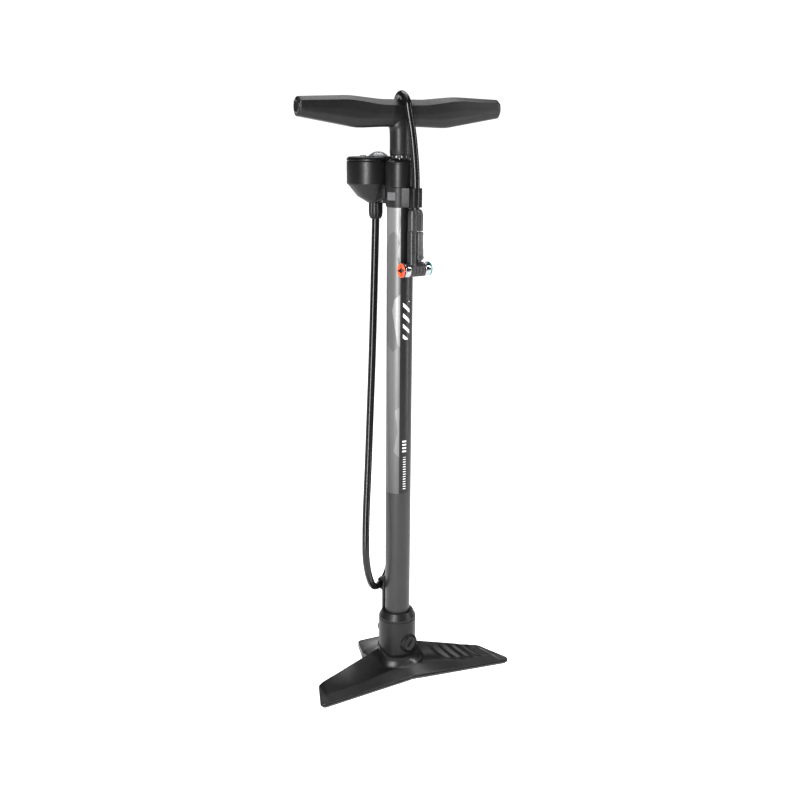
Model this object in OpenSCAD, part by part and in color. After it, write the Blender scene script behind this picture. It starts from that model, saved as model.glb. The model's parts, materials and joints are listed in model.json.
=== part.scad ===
// Floor pump for bicycle tyres: a T-handle on a rod and piston, a barrel
// with a digital gauge on its head, a foot with two wings, and a hose
// that ends in a twin-port chuck. The hose is stored: it runs down from
// the gauge, under a hook, up behind the barrel, over the handle and down
// to a clip. Millimetres, +Z up, origin on the barrel's axis at the floor,
// handle along X, user at -Y.

/* [Barrel] */
// Outer diameter of the barrel tube
barrel_d = 30; // [29:0.5:31]
// Height of the barrel tube's top end
barrel_top = 590; // [580:1:600]
// Diameter of the piston rod
rod_d = 12; // [11:0.5:12.5]

/* [Handle] */
// Length of the handle from end cap to end cap
handle_len = 247; // [230:1:260]
// Depth of the handle at its middle
handle_depth = 26; // [24:1:28]
// Height of the handle's flat top at its middle
handle_top = 677; // [672:1:680]
// Diameter of the handle's neck
neck_d = 24.4; // [22:0.2:26]

/* [Head and gauge] */
// Height of the underside of the top collar
collar_z = 561.6; // [555:0.2:565]
// Outer diameter of the gauge
gauge_d = 54; // [50:0.5:55]
// Distance of the gauge's axis from the barrel's axis
gauge_r = 41.5; // [41:0.5:43]
// Direction of the gauge round the barrel, from +X, in degrees
gauge_az = 118; // [115:1:120]
// Diameter of the domed lens
lens_d = 24; // [20:1:25]

/* [Base] */
// Width over the tips of the two wings
foot_w = 254; // [240:1:260]
// Thickness of the rubber sole
sole_t = 2.2; // [2:0.1:2.4]
// Outer diameter of the socket that holds the barrel
socket_d = 45.2; // [43:0.2:46]
// Diameter of the flared ring round the socket's foot
hub_d = 68; // [64:1:70]
// Diameter of the service plug's head
plug_d = 18.6; // [18:0.2:19]

/* [Hose and chuck] */
// Outer diameter of the hose
hose_d = 8.8; // [8.4:0.2:8.8]
// Height of the chuck head's axis
chuck_z = 493.5; // [490:0.5:496]
// Length of the chuck head from port to port
chuck_len = 38; // [37:0.5:42]
// Diameter of the presta port
presta_d = 6.2; // [6:0.1:6.4]
// Diameter of the schrader port
schrader_d = 8.2; // [8:0.1:8.4]

/* [Hidden] */
$fn = 64;

// Clearance of a round fit, and gap between parts that don't touch
fit = 0.05;
gap = 0.3;

// Barrel and pumping parts
barrel_r = barrel_d / 2;
barrel_in = barrel_r - 1.3;
barrel_z = 52;
liner_r = barrel_in - 1.5;
liner_in = liner_r - 1;
liner_z = 54;
liner_top = barrel_top - 4;
rod_r = rod_d / 2;
piston_z = 60;
piston_top = 74;
spigot_r = rod_r - 2;
rod_top = handle_top - 22;

// Base
socket_r = socket_d / 2;
socket_z = 14;
socket_top = 75;
chamber_r = 9;
chamber_top = 48;
plug_z = 37;
plug_az = -77;
hub_r = hub_d / 2;
wing_x = foot_w / 2;

// Hook on the socket
hook_az = 130;
hook_in = barrel_r + 0.4;
hook_out = hook_in + 3.6;
hook_w = 8;
hook_z = 42;
hook_top = 113.5;
hook_screw_z = 47.5;

// Head
cap_r = 16.8;
cap_z = 582.9;
cap_top = 613.3;
ring_z = cap_top + gap;
neck_z = 618.6;
neck_r = neck_d / 2;
collar_r = 16.3;
badge_az = -153;

// Gauge
gauge_z = 585.7;
bezel_z = 610.6;
bezel_top = 615.3;
lens_in = 11;
button_out = 10.5;
button_z = 608.4;
screw_ring = 17;
board_z = 603;
nut_r = 34;
nut_z = 546.5;
nut_top = 564.5;

// Hose and chuck
hose_r = hose_d / 2;
chuck_x = 7;
chuck_y = -23.8;
chuck_az = 7;
clip_az = atan2(chuck_y, chuck_x);
chuck_r = 7.5;
port_r = 6.2;
port_end = chuck_len / 2;
ring_in = 10;
ring_end = 17;
lever_x = 4.8;
lever_z = chuck_z + 14;
lever_w = 8;
lever_top = 535.2;
column_x = -4.4;
column_w = 9.2;
air_x = -2.4;
sleeve_z = 536;
sleeve_top = 560;

// Route of the hose: from inside the outlet nut, down on the left, under
// the hook, up behind the barrel, over the handle and down to the chuck
hose_path = [
    [-16, 30, 556], [-16, 30, 545], [-18, 28, 500], [-22, 23, 440],
    [-26, 18.5, 380], [-30.5, 14, 320], [-35.5, 8.5, 260], [-41, 2, 206.5],
    [-44.5, -4, 175.5], [-45.5, -6.5, 155], [-43, -5, 137.5],
    [-38.5, -2, 122.5], [-32, 3.5, 110.5], [-24, 10.5, 104.5],
    [-15.2, 18.2, 103], [-6, 26, 104.5], [2, 32.5, 110.5], [8.5, 38, 122.5],
    [13, 42, 137.5], [15.5, 44, 155], [16.5, 44.5, 183.5], [16, 41.5, 260],
    [14.5, 36, 360], [12, 30, 460], [10, 24.5, 560], [9, 22.8, 612],
    [6.5, 21.9, 640], [4.4, 18.2, 664], [3.4, 15.8, 673.2],
    [1.8, 9.1, 679.8], [0.4, 0, 682.3], [-0.2, -9.1, 679.8],
    [-0.2, -15.8, 673.2], [0.4, -18.2, 664], [3, -21.6, 642],
    [5.2, -22.8, 620], [6.5, -23.4, 602], [7, -23.8, 586], [7, -23.8, 565],
    [7, -23.8, 548]
];

// Puts its children at radius r from the barrel's axis, x pointing outward
module at_azimuth(az, r = 0) {
    rotate([0, 0, az]) translate([r, 0, 0]) children();
}

// A cylinder along +X
module rod_x(r, length) {
    rotate([0, 90, 0]) cylinder(r = r, h = length);
}

// A ring between two radii
module tube(outer, inner, height) {
    difference() {
        cylinder(r = outer, h = height);
        translate([0, 0, -1]) cylinder(r = inner, h = height + 2);
    }
}

// A bar along z with round corners made of plain shapes
module round_bar(size_x, size_y, r, height) {
    for (sx = [-1, 1], sy = [-1, 1])
        translate([sx * (size_x / 2 - r), sy * (size_y / 2 - r), 0])
            cylinder(r = r, h = height);
    translate([-size_x / 2, -size_y / 2 + r, 0])
        cube([size_x, size_y - 2 * r, height]);
    translate([-size_x / 2 + r, -size_y / 2, 0])
        cube([size_x - 2 * r, size_y, height]);
}

// ---- Base ----

// Corners of the foot's outline, right half from the front notch
function foot_half(inset) = [
    [0, -46.5 + inset], [wing_x - 8, -61.4 + inset],
    [wing_x - inset, -58 + inset], [wing_x - 15 - inset, -17.5 - inset],
    [40 - inset, 8 - inset], [25.5 - inset, 61 - inset],
    [0, 62 - inset]
];

module foot_outline(inset) {
    half = foot_half(inset);
    last = len(half) - 1;
    polygon(concat(half,
        [for (i = [last - 1:-1:1]) [-half[i][0], half[i][1]]]));
}

module rubber_sole() {
    color([0.07, 0.07, 0.075])
        linear_extrude(sole_t) foot_outline(2.5);
}

// A peg of the foot's skin at one corner of a wing
module foot_peg(x, y, r, top) {
    translate([x, y, sole_t]) cylinder(r = r, h = top - sole_t, $fn = 32);
}

module wing(side) {
    hull() {
        foot_peg(side * (wing_x - 19.5), -22, 4, 8);
        foot_peg(side * (wing_x - 5.5), -56, 5, 5.5);
        foot_peg(0, -40.5, 6, 7);
        foot_peg(0, 0, 21, 25);
    }
}

module rear_leg() {
    hull() {
        foot_peg(21, 57, 4.5, 10);
        foot_peg(-21, 57, 4.5, 10);
        foot_peg(29, 24, 4.5, 12);
        foot_peg(-29, 24, 4.5, 12);
        foot_peg(0, 0, 24, 24);
    }
}

module hub_ring() {
    rotate_extrude() polygon([
        [0, sole_t], [hub_r - 1.5, sole_t], [hub_r, 5], [hub_r, 8],
        [hub_r - 1.2, 10.5], [hub_r - 4, 14], [hub_r - 7, 18],
        [hub_r - 9, 23], [0, 23]
    ]);
}

screw_at = [for (a = [30, 150, 270]) [15 * cos(a), 15 * sin(a)]];

module base_foot() {
    color([0.16, 0.16, 0.17]) difference() {
        union() {
            wing(1);
            wing(-1);
            rear_leg();
            hub_ring();
        }
        translate([0, 0, socket_z]) cylinder(r = socket_r + fit, h = 30);
        for (p = screw_at) translate([p[0], p[1], 0]) {
            cylinder(r = 2.1, h = 20);
            cylinder(r = 4.1, h = 6);
        }
    }
}

module base_screws() {
    color([0.7, 0.71, 0.73])
        for (p = screw_at) translate([p[0], p[1], 0]) {
            translate([0, 0, 3]) cylinder(r = 3.9, h = 3);
            translate([0, 0, 6]) cylinder(r = 1.9, h = 16);
        }
}

// Outside of the socket, turned round the axis
module socket_body() {
    rotate_extrude() polygon([
        [0, socket_z], [socket_r, socket_z], [socket_r, 64.2],
        [socket_r - 0.6, 64.5], [socket_r - 0.6, 65.3],
        [socket_r, 65.6], [socket_r, 67], [socket_r - 4, socket_top],
        [0, socket_top]
    ]);
    at_azimuth(plug_az) translate([0, 0, plug_z])
        rod_x(plug_d / 2 + 2, socket_r + 2.2);
}

module base_socket() {
    color([0.2, 0.2, 0.21]) difference() {
        socket_body();
        translate([0, 0, barrel_z]) cylinder(r = barrel_r + fit, h = 40);
        translate([0, 0, chamber_top]) cylinder(r = barrel_in, h = 10);
        translate([0, 0, 26]) cylinder(r = chamber_r, h = 30);
        at_azimuth(plug_az) translate([0, 0, plug_z]) {
            translate([socket_r, 0, 0]) rod_x(plug_d / 2 + 0.7, 5);
            rod_x(7.6, socket_r + 5);
        }
        at_azimuth(hook_az, hook_in + 1.8)
            translate([-2, -hook_w / 2 - fit, hook_z])
                cube([4, hook_w + 2 * fit, 40]);
        at_azimuth(hook_az) translate([13.8, 0, hook_screw_z])
            rod_x(1.9, 15);
        for (p = screw_at) translate([p[0], p[1], 0])
            cylinder(r = 1.95, h = 22.2);
    }
}

module service_plug() {
    color([0.24, 0.24, 0.25]) at_azimuth(plug_az)
        translate([0, 0, plug_z]) difference() {
            union() {
                translate([socket_r + 0.1, 0, 0]) rod_x(plug_d / 2, 2.6);
                translate([11, 0, 0]) rod_x(7.5, socket_r - 10.9);
            }
            translate([socket_r + 1.6, 0, 0]) rotate([40, 0, 0])
                translate([0, -5, -0.7]) cube([3, 10, 1.4]);
            translate([14, 0, 0]) rotate([0, 90, 0])
                tube(8, 6.3, 2.2);
        }
}

module plug_seal() {
    color([0.06, 0.06, 0.06]) at_azimuth(plug_az)
        translate([14.1, 0, plug_z]) rotate([0, 90, 0])
            tube(7.55, 6.35, 2);
}

module valve_seat() {
    color([0.75, 0.62, 0.35]) difference() {
        translate([0, 0, chamber_top]) cylinder(r = liner_r, h = 6);
        translate([0, 0, chamber_top - 1]) cylinder(r = 2.5, h = 8);
        translate([0, 0, chamber_top - 1]) cylinder(r = 4, h = 2.4);
        for (a = [0:90:270]) rotate([0, 0, a])
            translate([5, -1, chamber_top - 1]) cube([10, 2, 2.2]);
    }
}

module valve_ball() {
    color([0.8, 0.8, 0.82]) translate([0, 0, 47.1]) sphere(r = 3.2);
}

module valve_spring() {
    color([0.7, 0.7, 0.72]) translate([0, 0, 26]) tube(3, 2.2, 17.6);
}

module hose_hook() {
    color([0.17, 0.17, 0.18]) at_azimuth(hook_az, hook_in)
        difference() {
            union() {
                translate([0, -hook_w / 2, hook_z])
                    cube([hook_out - hook_in, hook_w, hook_top - hook_z]);
                translate([0, -hook_w / 2, hook_top - 9])
                    cube([hook_out - hook_in + 5.6, hook_w, 9]);
            }
            translate([hook_out - hook_in + hose_r + gap, -hook_w, 103])
                rotate([-90, 0, 0]) cylinder(r = hose_r + gap, h = 30);
            translate([hook_out - hook_in + hose_r + gap, -hook_w, 95.5])
                cube([9, 30, 8]);
            translate([-1, 0, hook_screw_z]) rod_x(1.9, 8);
        }
}

module hook_screw() {
    color([0.3, 0.3, 0.31]) at_azimuth(hook_az)
        translate([0, 0, hook_screw_z]) difference() {
            union() {
                translate([14, 0, 0]) rod_x(1.85, socket_r - 14);
                translate([socket_r, 0, 0]) rod_x(4.75, 3);
            }
            translate([socket_r + 1.4, 0, 0]) rotate([0, 90, 0])
                cylinder(r = 2, h = 3, $fn = 6);
        }
}

// ---- Barrel ----

module barrel_tube() {
    color([0.22, 0.22, 0.23]) difference() {
        translate([0, 0, barrel_z])
            tube(barrel_r, barrel_in, barrel_top - barrel_z);
        at_azimuth(gauge_az) translate([10, 0, 572]) rod_x(2, 10);
    }
}

module cylinder_liner() {
    color([0.72, 0.72, 0.74]) translate([0, 0, liner_z])
        tube(liner_r, liner_in, liner_top - liner_z);
}

// ---- Head ----

// Web from the collar to the clip, narrower towards the clip
module clip_block() {
    half = [[0, 10.2], [12.7, 10.2], [20.3, 3.8]];
    at_azimuth(clip_az) translate([0, 0, collar_z])
        linear_extrude(cap_z - collar_z) polygon(concat(half,
            [for (i = [2:-1:0]) [half[i][0], -half[i][1]]]));
}

module clip_place() {
    translate([chuck_x, chuck_y, collar_z]) rotate([0, 0, clip_az])
        children();
}

module top_collar() {
    height = cap_z - collar_z;
    color([0.2, 0.2, 0.21]) difference() {
        union() {
            translate([0, 0, collar_z]) cylinder(r = collar_r, h = height);
            clip_block();
            at_azimuth(gauge_az) translate([10, -8, collar_z + 3])
                cube([9, 16, height - 3]);
        }
        translate([0, 0, collar_z - 1])
            cylinder(r = barrel_r + fit, h = height + 2);
        clip_place() translate([0, 0, -1])
            cylinder(r = hose_r + 3 + fit, h = height + 2);
        for (z = [565, 577]) translate([0, 0, z])
            cylinder(r = barrel_r + 0.8, h = 2);
        at_azimuth(gauge_az) translate([10, 0, 572]) rod_x(2, 20);
        badge_block(3);
    }
}

module collar_seals() {
    color([0.05, 0.05, 0.05]) for (z = [565.1, 577.1])
        translate([0, 0, z]) tube(barrel_r + 0.75, barrel_r, 1.8);
}

module badge_block(thick) {
    at_azimuth(badge_az, collar_r - 0.4)
        translate([0, -5.5, collar_z + 7.4]) cube([thick, 11, 9]);
}

module badge_plate() {
    color([0.55, 0.56, 0.57]) badge_block(1.2);
}

module hose_clip() {
    height = cap_z - collar_z;
    color([0.1, 0.1, 0.11]) clip_place() difference() {
        cylinder(r = hose_r + 3, h = height);
        translate([0, 0, -1]) cylinder(r = hose_r + 0.2, h = height + 2);
        translate([1.4, -12, -1]) cube([12, 24, height + 2]);
    }
}

module head_cap() {
    color([0.2, 0.2, 0.21]) difference() {
        rotate_extrude() polygon([
            [0, cap_z], [cap_r, cap_z], [cap_r, 608.2], [cap_r - 0.5, 608.4],
            [cap_r - 0.5, 609], [cap_r, 609.2], [cap_r, 610],
            [cap_r - 5, cap_top], [0, cap_top]
        ]);
        translate([0, 0, cap_z - 1])
            cylinder(r = barrel_r + fit, h = barrel_top - cap_z + 1);
        translate([0, 0, cap_z]) cylinder(r = 8, h = 24.6);
        translate([0, 0, cap_z]) cylinder(r = rod_r + 0.5, h = 40);
    }
}

module rod_bush() {
    color([0.85, 0.84, 0.8]) difference() {
        union() {
            translate([0, 0, liner_top]) cylinder(r = 8, h = 18);
            translate([0, 0, liner_top]) cylinder(r = liner_r, h = 3.9);
        }
        translate([0, 0, liner_top - 1]) cylinder(r = rod_r + fit, h = 20);
    }
}

module rod_seal() {
    color([0.05, 0.05, 0.05]) translate([0, 0, liner_top + 18])
        tube(8, rod_r + fit, 3.4);
}

// ---- Gauge ----

module at_gauge(out = 0) {
    at_azimuth(gauge_az, gauge_r + out) children();
}

module gauge_peg(r, dist, z) {
    at_azimuth(gauge_az, dist) translate([0, 0, z])
        cylinder(r = r, h = 0.6, $fn = 48);
}

module gauge_bosses() {
    for (a = [0, 120, 240]) at_gauge() rotate([0, 0, a])
        translate([screw_ring, 0, 591]) tube(2.7, 1.25, board_z - 591);
}

module gauge_housing() {
    color([0.17, 0.17, 0.18]) gauge_bosses();
    color([0.17, 0.17, 0.18]) difference() {
        union() {
            at_gauge() translate([0, 0, gauge_z])
                cylinder(r = gauge_d / 2, h = bezel_z - gauge_z - 0.4);
            hull() {
                gauge_peg(gauge_d / 2 - 0.1, gauge_r, gauge_z);
                gauge_peg(16.5, gauge_r - 2, 571.4);
                gauge_peg(9, nut_r, nut_top);
            }
            hull() {
                gauge_peg(9, nut_r, nut_top);
                at_azimuth(gauge_az) translate([14, -10, 571])
                    cube([4, 20, 14]);
            }
        }
        translate([0, 0, 550]) cylinder(r = cap_r + 0.1, h = 80);
        at_azimuth(gauge_az) translate([10, -8.1, collar_z + 2.9])
            cube([9.1, 16.2, cap_z - collar_z]);
        at_gauge() translate([0, 0, 592])
            cylinder(r = gauge_d / 2 - 2, h = 30);
        at_azimuth(gauge_az) translate([18, 0, 572]) rod_x(2, nut_r - 18);
        at_azimuth(gauge_az, nut_r) translate([0, 0, 560])
            cylinder(r = 2, h = 40);
    }
}

module gauge_bezel() {
    color([0.1, 0.1, 0.11]) difference() {
        at_gauge() translate([0, 0, bezel_z]) rotate_extrude() polygon([
            [0, 0], [gauge_d / 2, 0], [gauge_d / 2, 2.4],
            [gauge_d / 2 - 0.9, 4], [gauge_d / 2 - 3, bezel_top - bezel_z],
            [0, bezel_top - bezel_z]
        ]);
        translate([0, 0, 600]) cylinder(r = cap_r + 0.1, h = 30);
        at_gauge(-lens_in) translate([0, 0, 600])
            cylinder(r = lens_d / 2 + fit, h = 30);
        at_gauge(button_out) translate([0, 0, 600])
            cylinder(r = 3.6, h = 30);
    }
}

module gauge_lens() {
    rise = 6.2;
    base_r = lens_d / 2;
    ball_r = (base_r * base_r + rise * rise) / (2 * rise);
    color([0.75, 0.8, 0.85, 0.5]) at_gauge(-lens_in) {
        translate([0, 0, bezel_z])
            cylinder(r = base_r, h = bezel_top - bezel_z + fit);
        intersection() {
            translate([0, 0, bezel_top + rise - ball_r]) sphere(r = ball_r);
            translate([0, 0, bezel_top]) cylinder(r = base_r, h = 20);
        }
    }
}

module display_panel() {
    color([0.6, 0.68, 0.6]) at_gauge(-lens_in)
        translate([-6, -8, 604.7]) cube([12, 16, 5.5]);
}

module circuit_board() {
    color([0.1, 0.35, 0.2]) difference() {
        at_gauge() translate([0, 0, board_z]) cylinder(r = 21, h = 1.6);
        translate([0, 0, 600]) cylinder(r = cap_r + 2, h = 10);
        for (a = [0, 120, 240]) at_gauge() rotate([0, 0, a])
            translate([screw_ring, 0, 600]) cylinder(r = 1.3, h = 8);
    }
}

module gauge_screws() {
    color([0.75, 0.75, 0.77]) for (a = [0, 120, 240]) at_gauge()
        rotate([0, 0, a]) translate([screw_ring, 0, 0]) {
            translate([0, 0, 604.6]) cylinder(r = 2.2, h = 1.6);
            translate([0, 0, 592]) cylinder(r = 1.2, h = 12.6);
        }
}

module coin_cell() {
    color([0.8, 0.8, 0.82]) at_gauge(4) translate([0, 0, 599])
        cylinder(r = 10, h = 3.2);
}

module pressure_sensor() {
    color([0.3, 0.3, 0.32]) at_azimuth(gauge_az, nut_r)
        translate([0, 0, 592]) cylinder(r = 3, h = 5.5);
}

module button_switch() {
    color([0.15, 0.15, 0.16]) at_gauge(button_out)
        translate([-2.5, -2.5, 604.6]) cube([5, 5, 2.2]);
}

module gauge_button() {
    color([0.6, 0.6, 0.61]) at_gauge(button_out) {
        translate([0, 0, button_z]) cylinder(r = 4.6, h = 1.8);
        translate([0, 0, button_z]) cylinder(r = 3.5, h = 8.5);
    }
}

module outlet_nut() {
    color([0.15, 0.15, 0.16]) at_azimuth(gauge_az, nut_r) difference() {
        rotate_extrude() polygon([
            [0, nut_z], [5.6, nut_z], [7.2, nut_z + 1.6],
            [8, nut_z + 4.5], [8, nut_top], [0, nut_top]
        ]);
        for (a = [0:45:315]) rotate([0, 0, a])
            translate([8.9, 0, nut_z - 1]) cylinder(r = 1.6, h = 30);
        translate([0, 0, nut_z - 1])
            cylinder(r = hose_r + 0.15, h = 557.05 - nut_z);
        translate([0, 0, nut_z]) cylinder(r = 2, h = 30);
    }
}

// ---- Hose ----

hose_sides = 10;
function cut(v) = v / norm(v);
function point(i) = hose_path[max(0, min(len(hose_path) - 1, i))];
function between(i, t) =
    let (a = point(i - 1), b = point(i), c = point(i + 1), d = point(i + 2))
    0.5 * (2 * b + (c - a) * t + (2 * a - 5 * b + 4 * c - d) * t * t
        + (3 * b - a - 3 * c + d) * t * t * t);
hose_line = concat(
    [for (i = [0:len(hose_path) - 2]) for (t = [0, 0.5]) between(i, t)],
    [point(len(hose_path) - 1)]);
function heading(i) = cut(hose_line[min(len(hose_line) - 1, i + 1)]
    - hose_line[max(0, i - 1)]);

// The first side vector, and each next one carried along the line
function level(v, along) = cut(v - (v * along) * along);
function sides(i) = i == 0 ? [level([1, 0, 0], heading(0))]
    : let (before = sides(i - 1))
        concat(before, [level(before[i - 1], heading(i))]);

module hose() {
    rings = len(hose_line);
    side = sides(rings - 1);
    points = [for (i = [0:rings - 1]) for (k = [0:hose_sides - 1])
        let (a = 360 * k / hose_sides, up = cross(heading(i), side[i]))
        hose_line[i] + hose_r * (cos(a) * side[i] + sin(a) * up)];
    skin = [for (i = [0:rings - 2]) for (k = [0:hose_sides - 1])
        let (n = (k + 1) % hose_sides, p = i * hose_sides,
            q = p + hose_sides)
        [p + k, q + k, q + n, p + n]];
    ends = [[for (k = [0:hose_sides - 1]) k],
        [for (k = [hose_sides - 1:-1:0]) (rings - 1) * hose_sides + k]];
    color([0.08, 0.08, 0.085])
        polyhedron(points = points, faces = concat(skin, ends));
}

// ---- Chuck ----

// Chuck frame: x from the presta port to the schrader port, z up
module at_chuck(z = 0) {
    translate([chuck_x, chuck_y, z]) rotate([0, 0, chuck_az]) children();
}

module chuck_sleeve() {
    color([0.2, 0.2, 0.21]) at_chuck(sleeve_z) difference() {
        for (x = [-2.9, 2.9]) translate([x, 0, 0])
            rotate_extrude() polygon([
                [0, 0], [5.9, 0], [6.2, 0.6], [6.2, 19.5],
                [5.2, 22.8], [3.4, sleeve_top - sleeve_z],
                [0, sleeve_top - sleeve_z]
            ]);
        translate([0, 0, 12]) cylinder(r = hose_r + 0.15, h = 20);
        translate([air_x, 0, -1]) cylinder(r = 1.2, h = 20);
    }
}

// Lug and pin hole that carry the lever
module lever_lug() {
    translate([lever_x - 3.2, -1.5, 4]) cube([6.4, 3, 10]);
    translate([lever_x, 1.5, lever_z - chuck_z])
        rotate([90, 0, 0]) cylinder(r = 3.2, h = 3);
}

module chuck_body() {
    rib_at = [-1.5, 2.9, 7.3];
    color([0.24, 0.24, 0.25]) at_chuck(chuck_z) difference() {
        union() {
            translate([-ring_in, 0, 0]) rod_x(chuck_r, 2 * ring_in);
            for (x = rib_at)
                translate([x - 0.9, 0, 0]) rod_x(chuck_r + 0.6, 1.8);
            translate([-ring_end, 0, 0])
                rod_x(chuck_r - 0.6, 2 * ring_end);
            translate([column_x, 0, 4])
                round_bar(column_w, 10, 3.6, sleeve_z - chuck_z - 4);
            lever_lug();
        }
        translate([-ring_end - 1, 0, 0]) rod_x(port_r, 2 * ring_end + 2);
        translate([air_x, 0, 0]) cylinder(r = 1.2, h = 60);
        translate([lever_x, 5, lever_z - chuck_z])
            rotate([90, 0, 0]) cylinder(r = 1.5, h = 10);
    }
}

module chuck_ring(side) {
    at_chuck(chuck_z) rotate([0, 0, side > 0 ? 0 : 180])
        translate([ring_in, 0, 0]) rotate([0, 90, 0])
            tube(chuck_r + 0.7, chuck_r - 0.55, ring_end - ring_in);
}

module chuck_cap(side, hole_r) {
    at_chuck(chuck_z) rotate([0, 0, side > 0 ? 0 : 180]) difference() {
        union() {
            translate([ring_in, 0, 0]) rod_x(port_r - fit, 8);
            translate([ring_end, 0, 0])
                rod_x(chuck_r + 0.6, port_end - ring_end - 0.6);
            translate([port_end - 0.6, 0, 0]) rod_x(chuck_r, 0.6);
        }
        rod_x(hole_r, 40);
    }
}

module chuck_seal(side, hole_r) {
    at_chuck(chuck_z) rotate([0, 0, side > 0 ? 0 : 180])
        translate([6, 0, 0]) rotate([0, 90, 0])
            tube(port_r - 0.1, hole_r, 3.95);
}

module presta_ring() {
    color([0.85, 0.86, 0.88]) chuck_ring(-1);
}

module presta_cap() {
    color([0.9, 0.25, 0.12]) chuck_cap(-1, presta_d / 2);
}

module presta_seal() {
    color([0.05, 0.05, 0.05]) chuck_seal(-1, 2.3);
}

module schrader_ring() {
    color([0.85, 0.86, 0.88]) chuck_ring(1);
}

module schrader_cap() {
    color([0.05, 0.45, 0.42]) chuck_cap(1, schrader_d / 2);
}

module schrader_seal() {
    color([0.05, 0.05, 0.05]) chuck_seal(1, 3.5);
}

module chuck_plunger() {
    color([0.8, 0.8, 0.78]) at_chuck(chuck_z) difference() {
        translate([-3.6, 0, 0]) rod_x(port_r - 0.3, 7.2);
        translate([-5, 0, 0]) rod_x(1.4, 10);
        translate([air_x, 0, -8]) cylinder(r = 1.1, h = 16);
    }
}

module lever_pin() {
    color([0.8, 0.81, 0.83]) at_chuck(lever_z)
        translate([lever_x, 4.1, 0]) rotate([90, 0, 0])
            cylinder(r = 1.5, h = 8.2);
}

module chuck_lever() {
    color([0.34, 0.34, 0.35]) at_chuck(lever_z)
        translate([lever_x, 0, 0]) difference() {
            union() {
                translate([0, 4.5, 0]) rotate([90, 0, 0])
                    cylinder(r = lever_w / 2, h = 9);
                round_bar(lever_w, 9, 3, lever_top - lever_z - 2);
                translate([0.6, 0, lever_top - lever_z - 2])
                    round_bar(lever_w - 1.2, 7, 2.4, 2);
            }
            translate([-6, -1.9, -6]) cube([12, 3.8, 11]);
            translate([0, 6, 0]) rotate([90, 0, 0])
                cylinder(r = 1.5 + fit, h = 12);
            for (i = [0:2]) translate([lever_w / 2 - 0.7, -2.5, 17 + 3 * i])
                cube([2, 5, 1.2]);
        }
}

// ---- Piston, rod and handle ----

module piston() {
    color([0.25, 0.25, 0.26]) difference() {
        translate([0, 0, piston_z])
            cylinder(r = liner_in - gap, h = piston_top - piston_z);
        translate([0, 0, piston_z - 1]) cylinder(r = spigot_r + fit, h = 40);
        translate([0, 0, piston_z + 5]) tube(liner_in + 1, liner_in - 2.4, 4);
    }
}

module piston_seal() {
    color([0.05, 0.05, 0.05]) translate([0, 0, piston_z + 5])
        tube(liner_in - fit, liner_in - 2.4, 4);
}

module rebound_bumper() {
    color([0.08, 0.08, 0.08]) translate([0, 0, piston_top])
        tube(liner_in - 1, rod_r + fit, 10);
}

module piston_nut() {
    color([0.75, 0.75, 0.77]) translate([0, 0, piston_z - 5]) difference() {
        cylinder(r = 6.9, h = 4.8, $fn = 6);
        translate([0, 0, -1]) cylinder(r = spigot_r, h = 8);
    }
}

module piston_rod() {
    color([0.83, 0.84, 0.86]) difference() {
        union() {
            translate([0, 0, piston_z - 5]) cylinder(r = spigot_r, h = 25);
            translate([0, 0, piston_top + 0.1])
                cylinder(r = rod_r, h = rod_top - piston_top - 0.1);
        }
        translate([0, 0, piston_top + 12])
            cylinder(r = rod_r - 1.4, h = rod_top - piston_top);
    }
}

module rod_bumper() {
    teeth = 12;
    color([0.06, 0.06, 0.06]) translate([0, 0, ring_z]) difference() {
        cylinder(r = 11.8, h = neck_z - ring_z);
        translate([0, 0, -1]) cylinder(r = rod_r, h = 10);
        for (i = [0:teeth - 1]) rotate([0, 0, 360 * i / teeth])
            translate([9.6, -1.2, 1.4]) cube([4, 2.4, 2.2]);
    }
}

module handle_insert() {
    color([0.75, 0.62, 0.35]) translate([0, 0, 626])
        tube(8, rod_r, rod_top - 626);
}

// Three discs whose hull is the grip's outline at x
module grip_slice(x, low, high, depth, r) {
    top_r = depth / 2;
    translate([x, 0, 0]) rotate([90, 0, 90])
        translate([0, 0, -0.5]) linear_extrude(1) {
            translate([0, high - top_r]) circle(r = top_r, $fn = 48);
            for (sy = [-1, 1]) translate([sy * (top_r - r), low + r])
                circle(r = r, $fn = 24);
        }
}

// Stations of the grip: x, underside, top, depth and lower corner radius
grip_stations = [
    [0, 647.6, handle_top, handle_depth, 7],
    [32, 647, handle_top + 0.4, handle_depth + 0.4, 7],
    [62, 647.5, handle_top + 3, handle_depth - 0.5, 8],
    [handle_len / 2 - 1.5, 657.5, handle_top + 1.6, 21, 9]
];

module grip_half(side) {
    for (i = [0:2]) hull() for (s = [grip_stations[i], grip_stations[i + 1]])
        grip_slice(side * s[0], s[1], s[2], s[3], s[4]);
}

module handle_grip() {
    cap_x = handle_len / 2 - 5;
    color([0.2, 0.2, 0.21]) difference() {
        union() {
            grip_half(1);
            grip_half(-1);
            translate([0, 0, neck_z]) cylinder(r = neck_r, h = 40);
            translate([0, 0, 642])
                cylinder(r1 = neck_r, r2 = neck_r + 3, h = 7);
        }
        translate([0, 0, neck_z - 1]) cylinder(r = rod_r, h = 10);
        translate([0, 0, 626]) cylinder(r = 8, h = rod_top - 626);
        for (side = [0, 180]) rotate([0, 0, side])
            translate([cap_x, 0, 668.3]) rod_x(8, 10);
    }
}

module handle_end_caps() {
    color([0.12, 0.12, 0.13]) for (side = [0, 180]) rotate([0, 0, side])
        translate([handle_len / 2 - 5, 0, 668.3]) {
            rod_x(8 - fit, 4.4);
            translate([4.4, 0, 0]) rod_x(7.2, 0.6);
        }
}

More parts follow.
